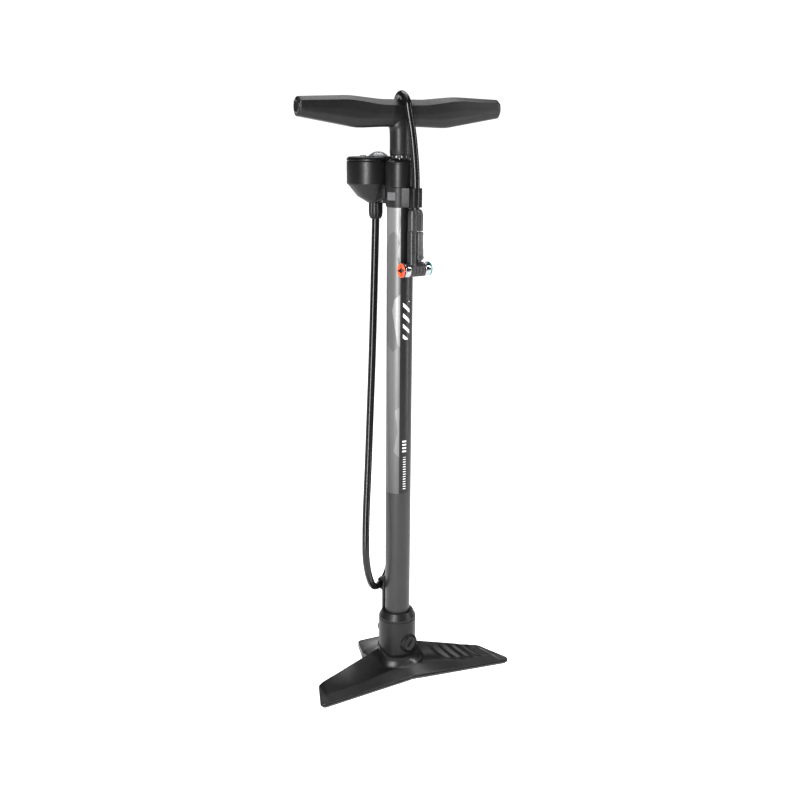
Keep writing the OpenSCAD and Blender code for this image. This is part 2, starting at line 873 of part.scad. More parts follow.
rubber_sole();
base_foot();
base_socket();
base_screws();
service_plug();
plug_seal();
valve_seat();
valve_spring();
valve_ball();
hose_hook();
hook_screw();
barrel_tube();
cylinder_liner();
top_collar();
collar_seals();
badge_plate();
hose_clip();
head_cap();
rod_bush();
rod_seal();
gauge_housing();
gauge_bezel();
gauge_lens();
display_panel();
circuit_board();
gauge_screws();
coin_cell();
pressure_sensor();
button_switch();
gauge_button();
outlet_nut();
hose();
chuck_sleeve();
chuck_body();
presta_ring();
presta_cap();
presta_seal();
schrader_ring();
schrader_cap();
schrader_seal();
chuck_plunger();
lever_pin();
chuck_lever();
piston();
piston_seal();
rebound_bumper();
piston_nut();
piston_rod();
rod_bumper();
handle_insert();
handle_grip();
handle_end_caps();
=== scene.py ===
"""Looks of the floor pump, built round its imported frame."""

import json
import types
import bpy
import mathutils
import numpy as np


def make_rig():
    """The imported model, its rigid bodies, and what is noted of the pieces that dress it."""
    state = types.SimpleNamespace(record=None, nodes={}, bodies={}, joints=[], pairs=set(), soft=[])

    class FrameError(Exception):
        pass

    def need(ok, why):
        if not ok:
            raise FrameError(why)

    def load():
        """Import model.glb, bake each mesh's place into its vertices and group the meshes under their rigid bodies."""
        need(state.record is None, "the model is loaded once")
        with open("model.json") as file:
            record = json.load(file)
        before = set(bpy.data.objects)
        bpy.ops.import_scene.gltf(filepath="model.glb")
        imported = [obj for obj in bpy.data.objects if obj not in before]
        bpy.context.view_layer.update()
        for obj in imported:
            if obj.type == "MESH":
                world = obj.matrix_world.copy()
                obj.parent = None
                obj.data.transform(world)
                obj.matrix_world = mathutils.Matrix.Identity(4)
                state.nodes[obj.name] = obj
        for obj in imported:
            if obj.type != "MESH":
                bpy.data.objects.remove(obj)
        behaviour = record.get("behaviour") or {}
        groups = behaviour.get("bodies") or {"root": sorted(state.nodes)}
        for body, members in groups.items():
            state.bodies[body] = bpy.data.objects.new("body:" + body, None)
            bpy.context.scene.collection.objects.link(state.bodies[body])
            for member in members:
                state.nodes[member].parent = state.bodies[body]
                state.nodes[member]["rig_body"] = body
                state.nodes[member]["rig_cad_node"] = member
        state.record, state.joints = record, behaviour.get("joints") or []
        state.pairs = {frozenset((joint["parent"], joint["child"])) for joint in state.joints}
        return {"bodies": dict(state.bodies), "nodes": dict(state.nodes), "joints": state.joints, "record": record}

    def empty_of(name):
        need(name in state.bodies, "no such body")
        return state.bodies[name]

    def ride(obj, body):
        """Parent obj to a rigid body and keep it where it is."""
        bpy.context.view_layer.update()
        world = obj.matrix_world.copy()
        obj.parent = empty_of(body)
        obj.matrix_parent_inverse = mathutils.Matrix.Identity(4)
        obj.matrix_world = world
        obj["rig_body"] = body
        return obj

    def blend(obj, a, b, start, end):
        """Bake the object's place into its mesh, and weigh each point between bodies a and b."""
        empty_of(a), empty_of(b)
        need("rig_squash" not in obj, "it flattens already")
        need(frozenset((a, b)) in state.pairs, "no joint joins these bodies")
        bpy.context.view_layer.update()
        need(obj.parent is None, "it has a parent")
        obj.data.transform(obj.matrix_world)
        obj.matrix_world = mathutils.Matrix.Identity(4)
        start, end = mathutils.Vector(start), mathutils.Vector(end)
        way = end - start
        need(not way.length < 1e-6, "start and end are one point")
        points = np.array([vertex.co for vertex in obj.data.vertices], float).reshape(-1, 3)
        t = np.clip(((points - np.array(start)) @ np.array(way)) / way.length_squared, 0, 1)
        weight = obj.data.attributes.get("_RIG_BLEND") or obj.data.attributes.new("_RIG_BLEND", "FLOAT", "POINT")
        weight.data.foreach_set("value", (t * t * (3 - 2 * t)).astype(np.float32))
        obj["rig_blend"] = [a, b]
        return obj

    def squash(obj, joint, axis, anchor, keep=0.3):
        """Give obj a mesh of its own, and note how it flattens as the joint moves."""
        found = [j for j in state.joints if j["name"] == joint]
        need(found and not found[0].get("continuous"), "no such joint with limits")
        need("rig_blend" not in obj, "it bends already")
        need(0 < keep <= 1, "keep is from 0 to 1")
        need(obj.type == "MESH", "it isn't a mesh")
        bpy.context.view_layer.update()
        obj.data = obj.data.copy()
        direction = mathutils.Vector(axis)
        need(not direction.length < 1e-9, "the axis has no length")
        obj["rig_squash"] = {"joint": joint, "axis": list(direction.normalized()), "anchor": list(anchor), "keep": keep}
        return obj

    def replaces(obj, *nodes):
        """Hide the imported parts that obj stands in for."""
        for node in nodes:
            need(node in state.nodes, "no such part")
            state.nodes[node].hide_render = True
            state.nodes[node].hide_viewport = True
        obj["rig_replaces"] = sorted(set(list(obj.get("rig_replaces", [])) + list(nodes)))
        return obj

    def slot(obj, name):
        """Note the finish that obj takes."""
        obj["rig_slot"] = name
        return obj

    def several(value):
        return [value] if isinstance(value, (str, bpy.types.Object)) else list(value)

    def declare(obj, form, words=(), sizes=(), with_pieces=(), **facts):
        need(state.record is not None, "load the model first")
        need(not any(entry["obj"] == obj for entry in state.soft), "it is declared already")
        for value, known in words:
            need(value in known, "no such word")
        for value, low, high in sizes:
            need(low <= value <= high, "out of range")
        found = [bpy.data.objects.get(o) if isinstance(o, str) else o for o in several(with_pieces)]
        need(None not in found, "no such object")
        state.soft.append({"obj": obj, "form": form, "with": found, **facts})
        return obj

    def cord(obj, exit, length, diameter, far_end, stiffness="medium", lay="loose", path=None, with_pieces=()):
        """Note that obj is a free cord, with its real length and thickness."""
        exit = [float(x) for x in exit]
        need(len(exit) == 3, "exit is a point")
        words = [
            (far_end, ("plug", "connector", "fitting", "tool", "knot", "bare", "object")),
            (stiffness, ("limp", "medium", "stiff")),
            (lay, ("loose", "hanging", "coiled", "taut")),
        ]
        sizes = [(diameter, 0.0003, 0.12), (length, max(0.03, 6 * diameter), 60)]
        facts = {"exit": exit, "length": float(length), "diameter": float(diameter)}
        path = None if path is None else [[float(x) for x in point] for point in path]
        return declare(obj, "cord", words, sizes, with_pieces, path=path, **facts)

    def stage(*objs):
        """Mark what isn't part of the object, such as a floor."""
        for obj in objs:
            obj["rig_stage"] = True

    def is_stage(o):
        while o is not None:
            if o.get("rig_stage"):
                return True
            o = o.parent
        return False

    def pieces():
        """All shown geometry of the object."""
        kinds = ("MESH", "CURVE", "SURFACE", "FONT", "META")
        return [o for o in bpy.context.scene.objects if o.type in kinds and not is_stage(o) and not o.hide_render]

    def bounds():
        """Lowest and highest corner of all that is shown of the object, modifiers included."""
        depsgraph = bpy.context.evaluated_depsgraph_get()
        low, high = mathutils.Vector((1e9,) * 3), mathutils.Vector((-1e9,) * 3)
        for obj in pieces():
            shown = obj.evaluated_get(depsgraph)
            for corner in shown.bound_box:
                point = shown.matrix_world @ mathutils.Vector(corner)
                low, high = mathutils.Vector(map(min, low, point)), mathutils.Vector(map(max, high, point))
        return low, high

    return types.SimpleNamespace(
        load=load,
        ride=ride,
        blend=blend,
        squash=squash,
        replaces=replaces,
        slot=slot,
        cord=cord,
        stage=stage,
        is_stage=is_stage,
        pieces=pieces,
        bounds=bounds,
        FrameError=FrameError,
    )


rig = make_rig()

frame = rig.load()

import json
from math import asin, atan2, ceil, cos, degrees, exp, hypot, pi, radians, sin, sqrt, tan

import bmesh
import bpy
from mathutils import Matrix, Vector

CAD_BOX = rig.bounds()
MM = 0.001
TURN = 2 * pi

# ---- camera ----

SIGHT = (0.454, 0.891, 0)  # the way the camera looks, over the floor
CAMERA_HEADING = Vector(SIGHT).normalized()
CAMERA_DISTANCE = 1.223
CAMERA_HEIGHT = 0.648
CAMERA_PITCH = radians(14.2)
CAMERA_ROLL = radians(0.43)


def add_camera():
    forward = (CAMERA_HEADING * cos(CAMERA_PITCH)
               - Vector((0, 0, sin(CAMERA_PITCH))))
    level = forward.cross(Vector((0, 0, 1))).normalized()
    upright = level.cross(forward)
    right = level * cos(CAMERA_ROLL) + upright * sin(CAMERA_ROLL)
    up = upright * cos(CAMERA_ROLL) - level * sin(CAMERA_ROLL)
    data = bpy.data.cameras.new("Camera")
    data.lens, data.sensor_width, data.shift_x = 48.6, 36, 0.0015
    camera = bpy.data.objects.new("Camera", data)
    camera.matrix_world = Matrix((right, up, -forward)).transposed().to_4x4()
    camera.matrix_world.translation = (
        -CAMERA_HEADING * CAMERA_DISTANCE + Vector((0, 0, CAMERA_HEIGHT)))
    bpy.context.collection.objects.link(camera)
    bpy.context.scene.camera = camera


# ---- mesh building ----
# Shapes are drawn in millimetres in the frame's own axes.

def add_object(name, data):
    obj = bpy.data.objects.new(name, data)
    bpy.context.collection.objects.link(obj)
    return obj


def add_mesh(name, verts, faces, sharp=38):
    mesh = bpy.data.meshes.new(name)
    mesh.from_pydata([tuple(c * MM for c in v) for v in verts], [], faces)
    return tidy(add_object(name, mesh), sharp)


def tidy(obj, sharp=38):
    """Outward normals, and smooth shading but for sharp edges."""
    bm = bmesh.new()
    bm.from_mesh(obj.data)
    bmesh.ops.remove_doubles(bm, verts=bm.verts, dist=2e-6)
    bmesh.ops.recalc_face_normals(bm, faces=bm.faces)
    if bm.calc_volume(signed=True) < 0:
        bmesh.ops.reverse_faces(bm, faces=bm.faces)
    bm.to_mesh(obj.data)
    bm.free()
    obj.data.shade_smooth()
    obj.data.set_sharp_from_angle(angle=radians(sharp))
    return obj


def baked(obj):
    """The modifiers of obj, applied to its mesh."""
    graph = bpy.context.evaluated_depsgraph_get()
    mesh = bpy.data.meshes.new_from_object(obj.evaluated_get(graph))
    obj.modifiers.clear()
    obj.data = mesh
    return obj


def combine(obj, tools, how, sharp):
    """Cuts the tools from obj, or joins them to it, and removes them."""
    for tool in tools:
        modifier = obj.modifiers.new("Join", "BOOLEAN")
        modifier.operation, modifier.object, modifier.solver = how, tool, "EXACT"
        baked(obj)
        bpy.data.objects.remove(tool)
    return tidy(obj, sharp)


def join(obj, *tools, sharp=38):
    return combine(obj, tools, "UNION", sharp)


def carve(obj, *tools, sharp=38):
    return combine(obj, tools, "DIFFERENCE", sharp)


def bevel(obj, width, segments=2, angle=35, sharp=38):
    modifier = obj.modifiers.new("Edges", "BEVEL")
    modifier.width, modifier.segments = width * MM, segments
    modifier.limit_method, modifier.angle_limit = "ANGLE", radians(angle)
    return tidy(baked(obj), sharp)


def fillet(points, closed=False, step=11):
    """A flat line with round corners; a point is (a, b) or (a, b, radius)."""
    line = []
    for i, p in enumerate(points):
        here, radius = Vector(p[:2]), (p[2] if len(p) > 2 else 0)
        if not radius or (not closed and i in (0, len(points) - 1)):
            line.append(here)
            continue
        back = Vector(points[i - 1][:2]) - here
        on = Vector(points[(i + 1) % len(points)][:2]) - here
        a, b = back.normalized(), on.normalized()
        half = a.angle(b) / 2
        cut = min(radius / tan(half), 0.49 * back.length, 0.49 * on.length)
        centre = here + (a + b).normalized() * cut / cos(half)
        u, v = here + a * cut - centre, here + b * cut - centre
        sweep = pi - 2 * half
        steps = max(2, ceil(degrees(sweep) / step))
        for k in range(steps + 1):
            t = k / steps
            line.append(centre + (u * sin((1 - t) * sweep)
                                  + v * sin(t * sweep)) / sin(sweep))
    return [(p[0], p[1]) for p in line]


def arc(cx, cy, r, start, end, steps):
    """Points on a circle, by angles in degrees."""
    angles = [radians(start + (end - start) * k / steps) for k in range(steps + 1)]
    return [(cx + r * cos(a), cy + r * sin(a)) for a in angles]


def oval(rx, ry, z, steps):
    """Points round an ellipse at height z."""
    return [(rx * cos(TURN * k / steps), ry * sin(TURN * k / steps), z) for k in range(steps)]


def loft(name, rings, ends=True, wrap=False, sharp=38):
    """Skins rings that have the same number of points."""
    n, verts = len(rings[0]), [p for ring in rings for p in ring]
    faces = []
    for i in range(len(rings) if wrap else len(rings) - 1):
        a, b = i * n, ((i + 1) % len(rings)) * n
        faces += [(a + k, a + (k + 1) % n, b + (k + 1) % n, b + k)
                  for k in range(n)]
    if ends and not wrap:
        faces.append(tuple(range(n - 1, -1, -1)))
        faces.append(tuple(range(len(verts) - n, len(verts))))
    return add_mesh(name, verts, faces, sharp)


def placed(place, points):
    return [tuple(place @ Vector(p)) for p in points]


def lathe(name, profile, place=Matrix(), steps=96, wrap=False):
    """Turns (radius, height) points round place's z axis. An open profile
    begins and ends on the axis; wrap closes a ring's profile."""
    rings = []
    for r, z in profile:
        r = max(r, 1e-4)
        rings.append(placed(place, oval(r, r, z, steps)))
    return loft(name, rings, ends=not wrap, wrap=wrap)


def turned_ring(name, points, place=Matrix(), steps=96):
    """A ring whose section is the closed outline of the points."""
    return lathe(name, fillet(points, closed=True), place, steps, wrap=True)


def turned(name, points, place=Matrix(), steps=96, step=11):
    """A solid with a flat end at the first point; the last is on the axis."""
    return lathe(name, [(0, points[0][1])] + fillet(points, step=step), place, steps)


def drill(radius, low, high, place=Matrix(), steps=96):
    """A plain cylinder to cut with."""
    return lathe("Drill", [(0, low), (radius, low), (radius, high), (0, high)], place, steps)


def prism(name, outline, low, high, place=Matrix(), edge=0.4):
    """An outline drawn up from low to high, its rims rounded by edge."""
    bottom = [(low, 0)]
    if edge:
        angles = [pi / 2 * k / 3 for k in range(4)]
        bottom = [(low + edge * (1 - cos(a)), edge * (1 - sin(a))) for a in angles]
    top = [(high - (z - low), into) for z, into in reversed(bottom)]
    return loft(name, [placed(place, [(x, y, z) for x, y in inset(outline, into)])
                       for z, into in bottom + top])


def inset(outline, depth):
    """The closed outline moved in by depth."""
    if not depth:
        return outline
    area = sum(a[0] * b[1] - b[0] * a[1]
               for a, b in zip(outline, outline[1:] + outline[:1]))
    side = 1 if area > 0 else -1
    moved = []
    for i, p in enumerate(outline):
        a = Vector(outline[i]) - Vector(outline[i - 1])
        b = Vector(outline[(i + 1) % len(outline)]) - Vector(p)
        a = a.normalized() if a.length > 1e-9 else b.normalized()
        b = b.normalized() if b.length > 1e-9 else a
        along = (a + b).normalized()
        scale = 1 / max(0.5, along.dot(a))
        moved.append((p[0] - side * along.y * depth * scale,
                      p[1] + side * along.x * depth * scale))
    return moved


def rectangle(w, d, r, cx=0, cy=0):
    x, y = w / 2, d / 2
    return [(px + cx, py + cy) for px, py in fillet(
        [(-x, -y, r), (x, -y, r), (x, y, r), (-x, y, r)], closed=True)]


def hull(name, points, sharp=25):
    """The convex hull of some points."""
    bm = bmesh.new()
    for p in points:
        bm.verts.new(Vector(p) * MM)
    made = bmesh.ops.convex_hull(bm, input=bm.verts)
    spare = {g for g in made["geom_interior"] + made["geom_unused"]
             if isinstance(g, bmesh.types.BMVert)}
    bmesh.ops.delete(bm, geom=list(spare), context="VERTS")
    bmesh.ops.dissolve_limit(bm, angle_limit=radians(1), verts=bm.verts, edges=bm.edges)
    mesh = bpy.data.meshes.new(name)
    bm.to_mesh(mesh)
    bm.free()
    return tidy(add_object(name, mesh), sharp)


def merge(obj, others):
    """Joins the others into obj, as faces of its second finish."""
    bm = bmesh.new()
    bm.from_mesh(obj.data)
    for other in others:
        start = len(bm.faces)
        bm.from_mesh(other.data)
        bm.faces.ensure_lookup_table()
        for face in bm.faces[start:]:
            face.material_index = 1
        bpy.data.objects.remove(other)
    bm.to_mesh(obj.data)
    bm.free()
    return obj


def at_azimuth(azimuth, distance=0, height=0):
    """The place whose x points out from the barrel at azimuth degrees."""
    return (Matrix.Rotation(radians(azimuth), 4, "Z")
            @ Matrix.Translation((distance, 0, height)))


def facing_x(place, side=1):
    """The place with its z axis turned to lie along x, or along -x."""
    return place @ Matrix.Rotation(side * pi / 2, 4, "Y")


def facing_y(place):
    """Outlines drawn in (out, up) and pushed across place's y axis."""
    return place @ Matrix(((1, 0, 0, 0), (0, 0, -1, 0), (0, 1, 0, 0), (0, 0, 0, 1)))


def spun(place, angle):
    """The place turned about its own z axis, by degrees."""
    return place @ Matrix.Rotation(radians(angle), 4, "Z")


def smooth(t):
    t = max(0.0, min(1.0, t))
    return t * t * (3 - 2 * t)


# ---- materials ----

class Nodes:
    """A node tree, with short ways to add to it."""

    def __init__(self, tree):
        self.tree = tree

    def node(self, kind, inputs=(), out=0, **settings):
        """A new node; inputs are (socket, value or output) pairs."""
        node = self.tree.nodes.new("ShaderNode" + kind)
        for name, value in settings.items():
            setattr(node, name, value)
        for socket, value in inputs:
            if isinstance(value, bpy.types.NodeSocket):
                self.tree.links.new(value, node.inputs[socket])
            else:
                node.inputs[socket].default_value = value
        return node.outputs[out]

    def math(self, operation, a, b=0.0):
        return self.node("Math", [(0, a), (1, b)], operation=operation)

    def spread(self, value, low, high, start=0.0, end=1.0, **settings):
        """start to end, as value goes from low to high."""
        return self.node("MapRange", [
            ("Value", value), ("From Min", low), ("From Max", high), ("To Min", start),
            ("To Max", end)], **settings)

    def along(self, direction, place):
        """How far place is in a direction."""
        return self.node("VectorMath", [(0, place), (1, direction)], out=1,
                         operation="DOT_PRODUCT")


class Paint(Nodes):
    """A material and its nodes."""

    def __init__(self, name, **shader):
        self.material = bpy.data.materials.new(name)
        self.material.use_nodes = True
        super().__init__(self.material.node_tree)
        self.shader = self.tree.nodes["Principled BSDF"]
        for socket, value in shader.items():
            self.shader.inputs[socket.replace("_", " ")].default_value = value
        self.place = self.node("TexCoord", out="Object")

    def noise(self, scale, detail=3.0, place=None):
        return self.node("TexNoise", [("Vector", place or self.place), ("Scale", scale),
                                      ("Detail", detail), ("Roughness", 0.55)])

    def ramp(self, value, *stops, constant=False):
        """value through a ramp of (position, grey or colour) stops."""
        node = self.tree.nodes.new("ShaderNodeValToRGB")
        self.tree.links.new(value, node.inputs[0])
        if constant:
            node.color_ramp.interpolation = "CONSTANT"
        elements = node.color_ramp.elements
        while len(elements) < len(stops):
            elements.new(0.5)
        for element, (position, colour) in zip(elements, stops):
            element.position = position
            if not hasattr(colour, "__len__"):
                colour = (colour,) * 3
            element.color = (*colour, 1)
        return node.outputs[0]

    def mix(self, share, a, b, **settings):
        return self.node("MixRGB", [(0, share), (1, a), (2, b)], **settings)

    def between(self, value, low, high, soft):
        """1 where value lies from low to high, with soft edges."""
        return self.math("MULTIPLY", self.spread(value, low - soft, low + soft),
                         self.spread(value, high - soft, high + soft, 1.0, 0.0))

    def set(self, socket, value):
        self.tree.links.new(value, self.shader.inputs[socket])

    def bump(self, height, depth, strength=1.0, normal=None):
        inputs = [("Height", height), ("Distance", depth * MM), ("Strength", strength)]
        if normal:
            inputs.append(("Normal", normal))
        return self.node("Bump", inputs)

    def grain(self, scale, depth):
        """Fine moulded grain over faint flow marks."""
        flow = self.bump(self.noise(26, 2), 0.25, 0.12)
        self.set("Normal", self.bump(self.noise(scale, 2), depth, 0.5, flow))

    def worn(self, colour, lighter, share=0.35):
        """colour, a little lighter where handling has rubbed the edges."""
        rubbed = self.ramp(self.node("NewGeometry", out="Pointiness"), (0.515, 0), (0.56, 1))
        patchy = self.ramp(self.noise(160), (0.45, 0), (0.7, share))
        return self.mix(self.math("MULTIPLY", rubbed, patchy), colour, lighter)


def shades(colour, share):
    return [tuple(c * f for c in colour) for f in (1 - share, 1, 1 + share)]


def foot_paint():
    """The foot's plastic: a grained top, with a smoother strip in front."""
    paint = Paint("FootPlastic", Specular_IOR_Level=0.32)
    x = paint.node("SeparateXYZ", [(0, paint.place)])
    y = x.node.outputs[1]
    line = paint.math("ADD", y, paint.math("MULTIPLY", paint.math("ABSOLUTE", x), 0.12))
    strip = paint.spread(line, -0.0293, -0.0283, 1.0, 0.0)
    cloud, speck = paint.noise(38, 4), paint.noise(520, 3)
    tone = paint.mix(strip, paint.ramp(cloud, (0.3, 0.0042), (0.5, 0.005), (0.72, 0.0058)),
                     paint.ramp(cloud, (0.3, 0.017), (0.7, 0.021)))
    paint.set("Base Color", paint.worn(tone, (0.02, 0.02, 0.021, 1)))
    paint.set("Roughness", paint.mix(strip, paint.ramp(speck, (0.3, 0.28), (0.7, 0.41)),
                                     paint.ramp(speck, (0.3, 0.2), (0.7, 0.26))))
    paint.grain(2200, 0.03)
    return paint.material


def moulded(name, colour, rough, grain=2200, depth=0.03, gloss=0.24):
    """Moulded plastic: fine grain, slightly uneven gloss, faint flow marks."""
    paint = Paint(name, Specular_IOR_Level=gloss)
    dark, usual, light = shades(colour, 0.16)
    tone = paint.ramp(paint.noise(38, 4), (0.3, dark), (0.5, usual), (0.72, light))
    paint.set("Base Color", paint.worn(tone, tuple(c * 2.2 for c in colour) + (1,)))
    paint.set("Roughness", paint.ramp(
        paint.noise(520, 3), (0.3, rough - 0.06), (0.7, rough + 0.07)))
    paint.grain(grain, depth)
    return paint.material


def rubber(name, colour, rough, grain=1500, depth=0.04):
    paint = Paint(name, Specular_IOR_Level=0.32)
    dark, usual, light = shades(colour, 0.2)
    paint.set("Base Color", paint.ramp(
        paint.noise(70, 4), (0.3, dark), (0.5, usual), (0.75, light)))
    paint.set("Roughness", paint.ramp(
        paint.noise(300), (0.3, rough - 0.07), (0.7, rough + 0.08)))
    paint.set("Normal", paint.bump(paint.noise(grain, 3), depth, 0.5))
    return paint.material


def metal(name, colour, rough, brushed=0.0, scale=(1, 1, 1)):
    """Metal with fine marks, drawn out along an axis where scale is small."""
    paint = Paint(name, Metallic=1.0)
    dark, usual, light = shades(colour, 0.07)
    paint.set("Base Color", paint.ramp(
        paint.noise(90, 4), (0.3, dark), (0.5, usual), (0.7, light)))
    marks = paint.noise(900, 3, paint.node("Mapping", [("Vector", paint.place), ("Scale", scale)]))
    paint.set("Roughness", paint.ramp(marks, (0.3, max(0.02, rough - 0.05)), (0.7, rough + 0.07)))
    paint.set("Normal", paint.bump(marks, 0.01, 0.15 + brushed))
    return paint.material


def barrel_paint():
    """Satin tube paint with a printed panel: grey angular camouflage on one
    side, black with white bars on the other, plain below."""
    radius, panel_low, panel_high, edge = 15.0, 228.0, 561.0, -113.0
    paint = Paint("BarrelPaint", Coat_Weight=0.12, Coat_Roughness=0.2, Specular_IOR_Level=0.3)
    turn = paint.node("VectorRotate", [("Vector", paint.place), ("Angle", radians(-edge))],
                      rotation_type="Z_AXIS")
    x, y, z = paint.node("SeparateXYZ", [(0, turn)]).node.outputs
    round_mm = paint.math("MULTIPLY", paint.math("ARCTAN2", y, x), radius)
    up_mm = paint.math("MULTIPLY", z, 1000.0)
    flat = paint.node("CombineXYZ", [(0, round_mm), (1, up_mm)])

    # Angular patches, drawn out along the tube and slanted
    slant = paint.node("Mapping", [("Vector", flat), ("Rotation", (0, 0, radians(24))),
                                   ("Scale", (0.036, 0.0165, 1))])
    cells = paint.node("TexVoronoi", [("Vector", slant), ("Scale", 1.0), ("Randomness", 0.9)],
                       out="Color", voronoi_dimensions="2D", distance="MANHATTAN")
    tone = paint.ramp(cells, (0.0, 0.105), (0.36, 0.15), (0.6, 0.235), constant=True)
    dots = paint.node("TexVoronoi", [("Vector", flat), ("Scale", 1.5), ("Randomness", 0.0)],
                      voronoi_dimensions="2D")
    fade = paint.ramp(paint.spread(up_mm, panel_low, panel_high),
                      (0.0, 0.42), (0.4, 0.72), (1.0, 1.0))
    camo = paint.mix(1.0, tone, fade, blend_type="MULTIPLY")
    screen = paint.math("MULTIPLY", paint.between(dots, -1, 0.28, 0.05), 0.10)
    camo = paint.mix(screen, camo, (0.05, 0.05, 0.052, 1))

    panel = paint.between(up_mm, panel_low, panel_high, 0.15)
    camo_side = paint.math("MULTIPLY", panel, paint.between(round_mm, -60, -0.2, 0.15))
    plain = paint.ramp(paint.noise(30, 4), (0.35, (0.014, 0.014, 0.0145)),
                       (0.65, (0.018, 0.018, 0.0185)))
    black = paint.ramp(paint.noise(45, 4), (0.35, (0.0025, 0.0025, 0.0028)),
                       (0.65, (0.004, 0.004, 0.0043)))
    colour = paint.mix(camo_side, paint.mix(panel, plain, black), camo)

    # Slanted bars, a row of bold ticks and a row of fine ones
    lean = paint.math("ADD", up_mm, paint.math("MULTIPLY", round_mm, 0.9))
    rows = []
    for value, pitch, thick, soft, left, right, low, high in (
            (lean, 6.0, 2.1, 0.12, 3.2, 11.6, 413, 457),
            (up_mm, 2.0, 0.9, 0.12, 3.6, 8.6, 277, 295),
            (up_mm, 1.5, 0.45, 0.1, 4.6, 8.2, 232, 273)):
        row = paint.between(paint.math("PINGPONG", value, pitch), 0, thick, soft)
        row = paint.math("MULTIPLY", row, paint.between(round_mm, left, right, 0.12))
        rows.append(paint.math("MULTIPLY", row, paint.between(up_mm, low, high, 0.12)))
    marks = paint.math("MAXIMUM", rows[0], paint.math("MAXIMUM", rows[1], rows[2]))
    paint.set("Base Color", paint.mix(marks, colour, (0.80, 0.80, 0.80, 1)))
    paint.set("Metallic", paint.math("MULTIPLY", camo_side, 0.35))
    paint.set("Roughness", paint.ramp(paint.noise(420), (0.3, 0.34), (0.7, 0.46)))
    peel = paint.bump(paint.noise(650, 2), 0.02, 0.35)
    paint.set("Normal", paint.bump(panel, 0.05, 0.6, peel))
    return paint.material


def lens_glass():
    glass = Paint("LensClear", IOR=1.46, Transmission_Weight=1.0)
    glass.set("Base Color", glass.ramp(
        glass.noise(60), (0.3, (0.40, 0.42, 0.43)), (0.7, (0.46, 0.48, 0.49))))
    glass.set("Roughness", glass.ramp(glass.noise(700), (0.35, 0.01), (0.8, 0.05)))
    glass.set("Normal", glass.bump(glass.noise(300), 0.001, 0.1))
    return glass.material


def make_materials():
    """Every finish, by its name in dress."""
    return {
        "foot": foot_paint(),
        "trim": moulded("TrimPlastic", (0.022, 0.022, 0.023), 0.34, gloss=0.3),
        "groove": moulded("GroovePlastic", (0.001, 0.001, 0.001), 0.6, gloss=0.1),
        "socket": moulded("SocketPlastic", (0.0065, 0.0065, 0.007), 0.38,
                          gloss=0.26),
        "head": moulded("HeadPlastic", (0.0045, 0.0045, 0.005), 0.34),
        "collar": moulded("CollarPlastic", (0.010, 0.010, 0.0105), 0.36, gloss=0.18),
        "dark": moulded("DarkPlastic", (0.003, 0.003, 0.0033), 0.34, gloss=0.2),
        "gauge": moulded("GaugePlastic", (0.0035, 0.0035, 0.0038), 0.34),
        "handle": moulded("HandlePlastic", (0.0065, 0.0065, 0.007), 0.36,
                          grain=1700, depth=0.04),
        "cap": moulded("CapPlastic", (0.005, 0.005, 0.0053), 0.22, gloss=0.5),
        "chuck": moulded("ChuckPlastic", (0.022, 0.022, 0.023), 0.3, gloss=0.3),
        "lever": moulded("LeverPlastic", (0.045, 0.045, 0.047), 0.3, gloss=0.3),
        "grey": moulded("GreyPlastic", (0.085, 0.085, 0.088), 0.33, gloss=0.4),
        "button": moulded("ButtonPlastic", (0.22, 0.22, 0.225), 0.4),
        "inner": moulded("InnerPlastic", (0.55, 0.54, 0.50), 0.5),
        "red": moulded("PortRed", (0.80, 0.075, 0.022), 0.3),
        "green": moulded("PortGreen", (0.008, 0.20, 0.19), 0.3),
        "board": moulded("BoardMask", (0.012, 0.10, 0.035), 0.35),
        "screen": moulded("ScreenGrey", (0.30, 0.34, 0.29), 0.25),
        "ink": moulded("ScreenInk", (0.01, 0.012, 0.012), 0.3),
        "sole": rubber("SoleRubber", (0.004, 0.004, 0.0042), 0.7),
        "seal": rubber("SealRubber", (0.010, 0.010, 0.010), 0.5),
        "bumper": rubber("BumperRubber", (0.003, 0.003, 0.003), 0.5),
        "hose": rubber("HoseRubber", (0.004, 0.004, 0.0043), 0.17, 900, 0.004),
        "chrome": metal("Chrome", (0.40, 0.41, 0.43), 0.07),
        "rod": metal("RodSteel", (0.62, 0.63, 0.65), 0.1, scale=(1, 1, 0.04)),
        "steel": metal("ZincSteel", (0.58, 0.59, 0.62), 0.3, 0.2),
        "blackened": metal("BlackenedSteel", (0.12, 0.12, 0.125), 0.34, 0.1),
        "brass": metal("Brass", (0.74, 0.55, 0.26), 0.26, 0.1),
        "liner": metal("LinerAluminium", (0.72, 0.73, 0.75), 0.3, 0.2,
                       (1, 1, 0.05)),
        "barrel": barrel_paint(),
        "lens": lens_glass(),
    }


# The nodes that keep their CAD shape, by their finish
CAD_FINISH = {
    "steel": ["base_screws", "gauge_screws", "coin_cell", "pressure_sensor", "piston_nut"],
    "seal": ["plug_seal", "collar_seals", "rod_seal", "presta_seal", "schrader_seal",
             "piston_seal"],
    "inner": ["rod_bush", "chuck_plunger", "piston"],
    "brass": ["valve_seat", "handle_insert"],
    "chrome": ["valve_ball"], "barrel": ["barrel_tube"], "liner": ["cylinder_liner"],
    "board": ["circuit_board"], "dark": ["button_switch"], "bumper": ["rebound_bumper"],
    "rod": ["piston_rod"],
}


def paint_cad_nodes():
    for finish, nodes in CAD_FINISH.items():
        for node in nodes:
            mesh = frame["nodes"][node].data
            mesh.materials.clear()
            mesh.materials.append(FINISH[finish])


def dress(obj, node, slot, *finishes, body="barrel"):
    """Gives a piece its finishes, its body and the node it stands for."""
    for finish in finishes:
        obj.data.materials.append(FINISH[finish])
    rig.ride(obj, body)
    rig.replaces(obj, node)
    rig.slot(obj, slot)
    return obj


